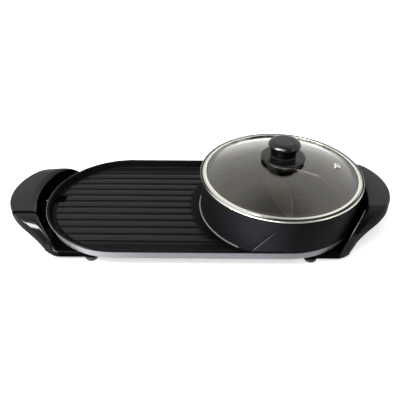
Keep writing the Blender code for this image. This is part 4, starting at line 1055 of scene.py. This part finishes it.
def polished_steel():
    """Polished steel with fine turning marks around it, and painted shade on the ring: near black in its
    groove, most at the front, and on the outer bead away from the front.
    """
    finish = Finish("polished_steel", Metallic=1.0)
    marks = finish.noise(1, 3, 0.7, finish.stretched(300, 300, 4000))
    smear = finish.noise(26, 2)
    reach = finish.off_axis(POT_X)
    bead = RING_HIGH[1] - RING_BEAD_WIDTH * 0.50
    # Painted shade: near-black colour in the ring's groove, strongest at the front away from the left, and on
    # the outer bead at the back and sides
    painted_ring_shade = reach.between(RING_SKIRT_RADIUS - RING_SHEET * 0.2, bead, HAIR * 4)
    front = 1 - finish.y.above(-PAN_RADIUS * 0.50, PAN_RADIUS * 0.4)
    painted_ring_shade = painted_ring_shade * (0.25 + 0.75 * front * (finish.x - POT_X).above(-PAN_RADIUS * 0.35, PAN_RADIUS * 0.4))
    painted_ring_shade = painted_ring_shade + 0.95 * reach.above((RING_SKIRT_RADIUS + bead) / 2, HAIR * 4) * (1 - front)
    bright = finish.blend(smear, (0.80, 0.795, 0.70), (0.90, 0.895, 0.80))
    finish.feed("Base Color", finish.blend(painted_ring_shade, bright, (0.030, 0.030, 0.028)))
    finish.feed("Roughness", 0.10 + 0.07 * marks + 0.06 * smear)
    finish.bump(marks, 0.00002, 0.3)
    return finish.material


def clear_glass():
    """Clear toughened glass with a warm cast and faint smears, and a coat over its back half as a painted
    reflection.
    """
    finish = Finish("lid_glass", Base_Color=(0.93, 0.90, 0.82, 1), IOR=1.62, Transmission_Weight=1,
                    Specular_Tint=(1, 0.96, 0.88, 1), Coat_IOR=1.6)
    smear = finish.noise(30, 3, 0.6)
    finish.feed("Roughness", smear.above(0.62, 0.3) * 0.03)
    # Painted reflection: the coat only over the back half, where the glass reflects brighter
    finish.feed("Coat Weight", finish.y.above(PAN_RADIUS * 0.35, PAN_RADIUS * 0.45))
    return finish.material


def plain_metal(name, shade, roughness, grain_scale):
    """Rolled or drawn metal with a directional grain."""
    finish = Finish(name, Metallic=1.0)
    grain = finish.noise(1, 3, 0.6, finish.stretched(grain_scale / 20, grain_scale, grain_scale))
    stain = finish.noise(45, 3)
    finish.feed("Base Color", finish.blend(stain, [c * 0.82 for c in shade], shade))
    finish.feed("Roughness", roughness + 0.15 * grain)
    finish.bump(grain, 0.00002, 0.4)
    return finish.material


def matt_moulded(name, shade, roughness=0.6, sheen=0.5):
    """Matt rubber or plastic with a moulded grain."""
    finish = Finish(name, Specular_IOR_Level=sheen)
    grain = finish.noise(1400, 2, 0.6)
    dust = finish.noise(60, 3)
    finish.feed("Base Color", finish.blend(dust, shade, [c * 1.6 for c in shade]))
    finish.feed("Roughness", roughness + 0.15 * grain)
    finish.bump(grain, 0.00008, 0.5)
    return finish.material


def heater_sheath():
    """Heater tube: steel darkened and tinted by heat."""
    finish = Finish("heater_sheath", Metallic=1.0)
    heat = finish.noise(18, 2)
    finish.feed("Base Color", finish.blend(heat, (0.30, 0.27, 0.24), (0.46, 0.42, 0.36)))
    finish.feed("Roughness", 0.35 + 0.2 * finish.noise(700, 2))
    return finish.material


def dress(items, material):
    """Gives objects one material."""
    for item in items:
        item.data.materials.clear()
        item.data.materials.append(material)


def carried(names, material):
    """Gives nodes that stay as they are their finish."""
    for name in names:
        item = frame["nodes"][name]
        item.data.materials.clear()
        item.data.materials.append(material)


def starting(*heads):
    return [name for name in frame["nodes"] if name.startswith(heads)]


# Room

def camera():
    """The camera where the photograph was taken from."""
    data = bpy.data.cameras.new("camera")
    data.lens = CAMERA_LENS
    data.sensor_width = SENSOR
    item = bpy.data.objects.new("camera", data)
    level = math.cos(CAMERA_ELEVATION)
    back = Vector((math.sin(CAMERA_AZIMUTH) * level, -math.cos(CAMERA_AZIMUTH) * level,
                   math.sin(CAMERA_ELEVATION)))
    right = (-back).cross(Vector((0, 0, 1))).normalized()
    up = back.cross(right)
    turn_right = math.cos(CAMERA_ROLL) * right + math.sin(CAMERA_ROLL) * up
    turn_up = math.cos(CAMERA_ROLL) * up - math.sin(CAMERA_ROLL) * right
    axes = Matrix((turn_right, turn_up, back)).transposed()
    item.matrix_world = Matrix.Translation(CAMERA_PLACE) @ axes.to_4x4()
    bpy.context.scene.collection.objects.link(item)
    bpy.context.scene.camera = item


def lamp(name, place, target, size, power):
    """A soft rectangular lamp aimed at a point."""
    data = bpy.data.lights.new(name, "AREA")
    data.shape = "RECTANGLE"
    data.size, data.size_y = size
    data.energy = power
    item = bpy.data.objects.new(name, data)
    aim = Vector(target) - Vector(place)
    item.matrix_world = Matrix.Translation(place) @ aim.to_track_quat("-Z", "Y").to_matrix().to_4x4()
    bpy.context.scene.collection.objects.link(item)


def light_paths(finish):
    """Whether a ray comes from the camera, from a reflection or through glass."""
    names = ("Is Camera Ray", "Is Glossy Ray", "Is Transmission Ray")
    return [finish.node("ShaderNodeLightPath", output=name) for name in names]


def world():
    """White to the camera. Reflections show it dark overhead and on the camera's side."""
    item = bpy.data.worlds.new("studio")
    item.use_nodes = True
    bpy.context.scene.world = item
    studio = Finish.on_tree(item.node_tree)
    camera_ray, glossy, through = light_paths(studio)
    across, ahead, up = studio.split(studio.node("ShaderNodeTexCoord", output="Generated"))
    nearer = (0 - ahead).above(0.15, 0.5) * up.above(0.1, 0.3)
    mirrored = (1 - 0.95 * up.above(0.96, 0.32)) * (1 - nearer * (0.45 + 0.45 * across.above(0, 0.6)))
    seen = glossy.maths("MAXIMUM", glossy, through)
    level = WORLD_LEVEL + (mirrored - WORLD_LEVEL) * seen
    level = level + (1 - level) * camera_ray
    background = item.node_tree.nodes["Background"]
    background.inputs["Color"].default_value = (1, 1, 1, 1)
    studio.tree.links.new(level.socket, background.inputs["Strength"])


def floor():
    """A plain pale floor that keeps the shadow."""
    work = bmesh.new()
    bmesh.ops.create_grid(work, x_segments=1, y_segments=1, size=FLOOR_HALF)
    item = close("floor", work)
    item.location.z = -HAIR
    finish = Finish("floor", Roughness=0.9, Base_Color=(*FLOOR_COLOUR, 1), Specular_IOR_Level=0,
                    Emission_Strength=1)
    camera_ray, glossy, through = light_paths(finish)
    rays = camera_ray.maths("MAXIMUM", camera_ray, glossy.maths("MAXIMUM", glossy, through))
    finish.feed("Emission Color", finish.blend(rays, (0, 0, 0), FLOOR_COLOUR))
    dress([item], finish.material)


camera()
bpy.context.scene.view_settings.view_transform = "Standard"
world()
floor()
lamp("key", (-1.12, -0.54, 1.5), (-1.12, 0, 0.03), (1.50, 0.44), 76)
lamp("front", (-0.25, -0.9, 1.6), OBJECT_MIDDLE, (0.7, 0.7), 15)
lamp("fill", (1.2, -0.6, 0.9), (0.05, 0, 0.03), (0.5, 0.5), 2)

coating = non_stick()
plastic = gloss_black("gloss_black", (0.0010, 0.0010, 0.0008), 0.14, 0.68)
steel_ring = polished_steel()
dress([pan()], coating)
dress([band()], silver_paint())
dress([lid_glass()], clear_glass())
dress([lid_ring(), vent()], steel_ring)
dress(knob(), gloss_black("knob_black", (0.0022, 0.0020, 0.0017), 0.20, 0.90))
dress([handle("left"), handle("right")], plastic)
dress(feet(), matt_moulded("foot_rubber", (0.012, 0.012, 0.012)))

plain_steel = plain_metal("plain_steel", (0.60, 0.60, 0.58), 0.28, 2400)
carried(starting("band_screw", "plate_screw", "base_plate", "cradle", "knob_screw"), plain_steel)
carried(starting("contact_pin", "probe_tube"), plain_metal("bright_pins", (0.72, 0.71, 0.68), 0.18, 3000))
carried(["heat_shield"], plain_metal("rolled_aluminium", (0.76, 0.76, 0.77), 0.30, 1500))
carried(["grill_heater", "pot_heater"], heater_sheath())
carried(["thermal_fuse"], plain_metal("fuse_brass", (0.66, 0.52, 0.26), 0.25, 1800))
carried(starting("lead_", "seal_washer"), matt_moulded("pale_silicone", (0.50, 0.50, 0.47), 0.55))
carried(["inlet_housing"], matt_moulded("black_thermoset", (0.014, 0.013, 0.012), 0.45))
carried(["drip_tray"], matt_moulded("tray_plastic", (0.0010, 0.0010, 0.0011), 0.42, 0.04))
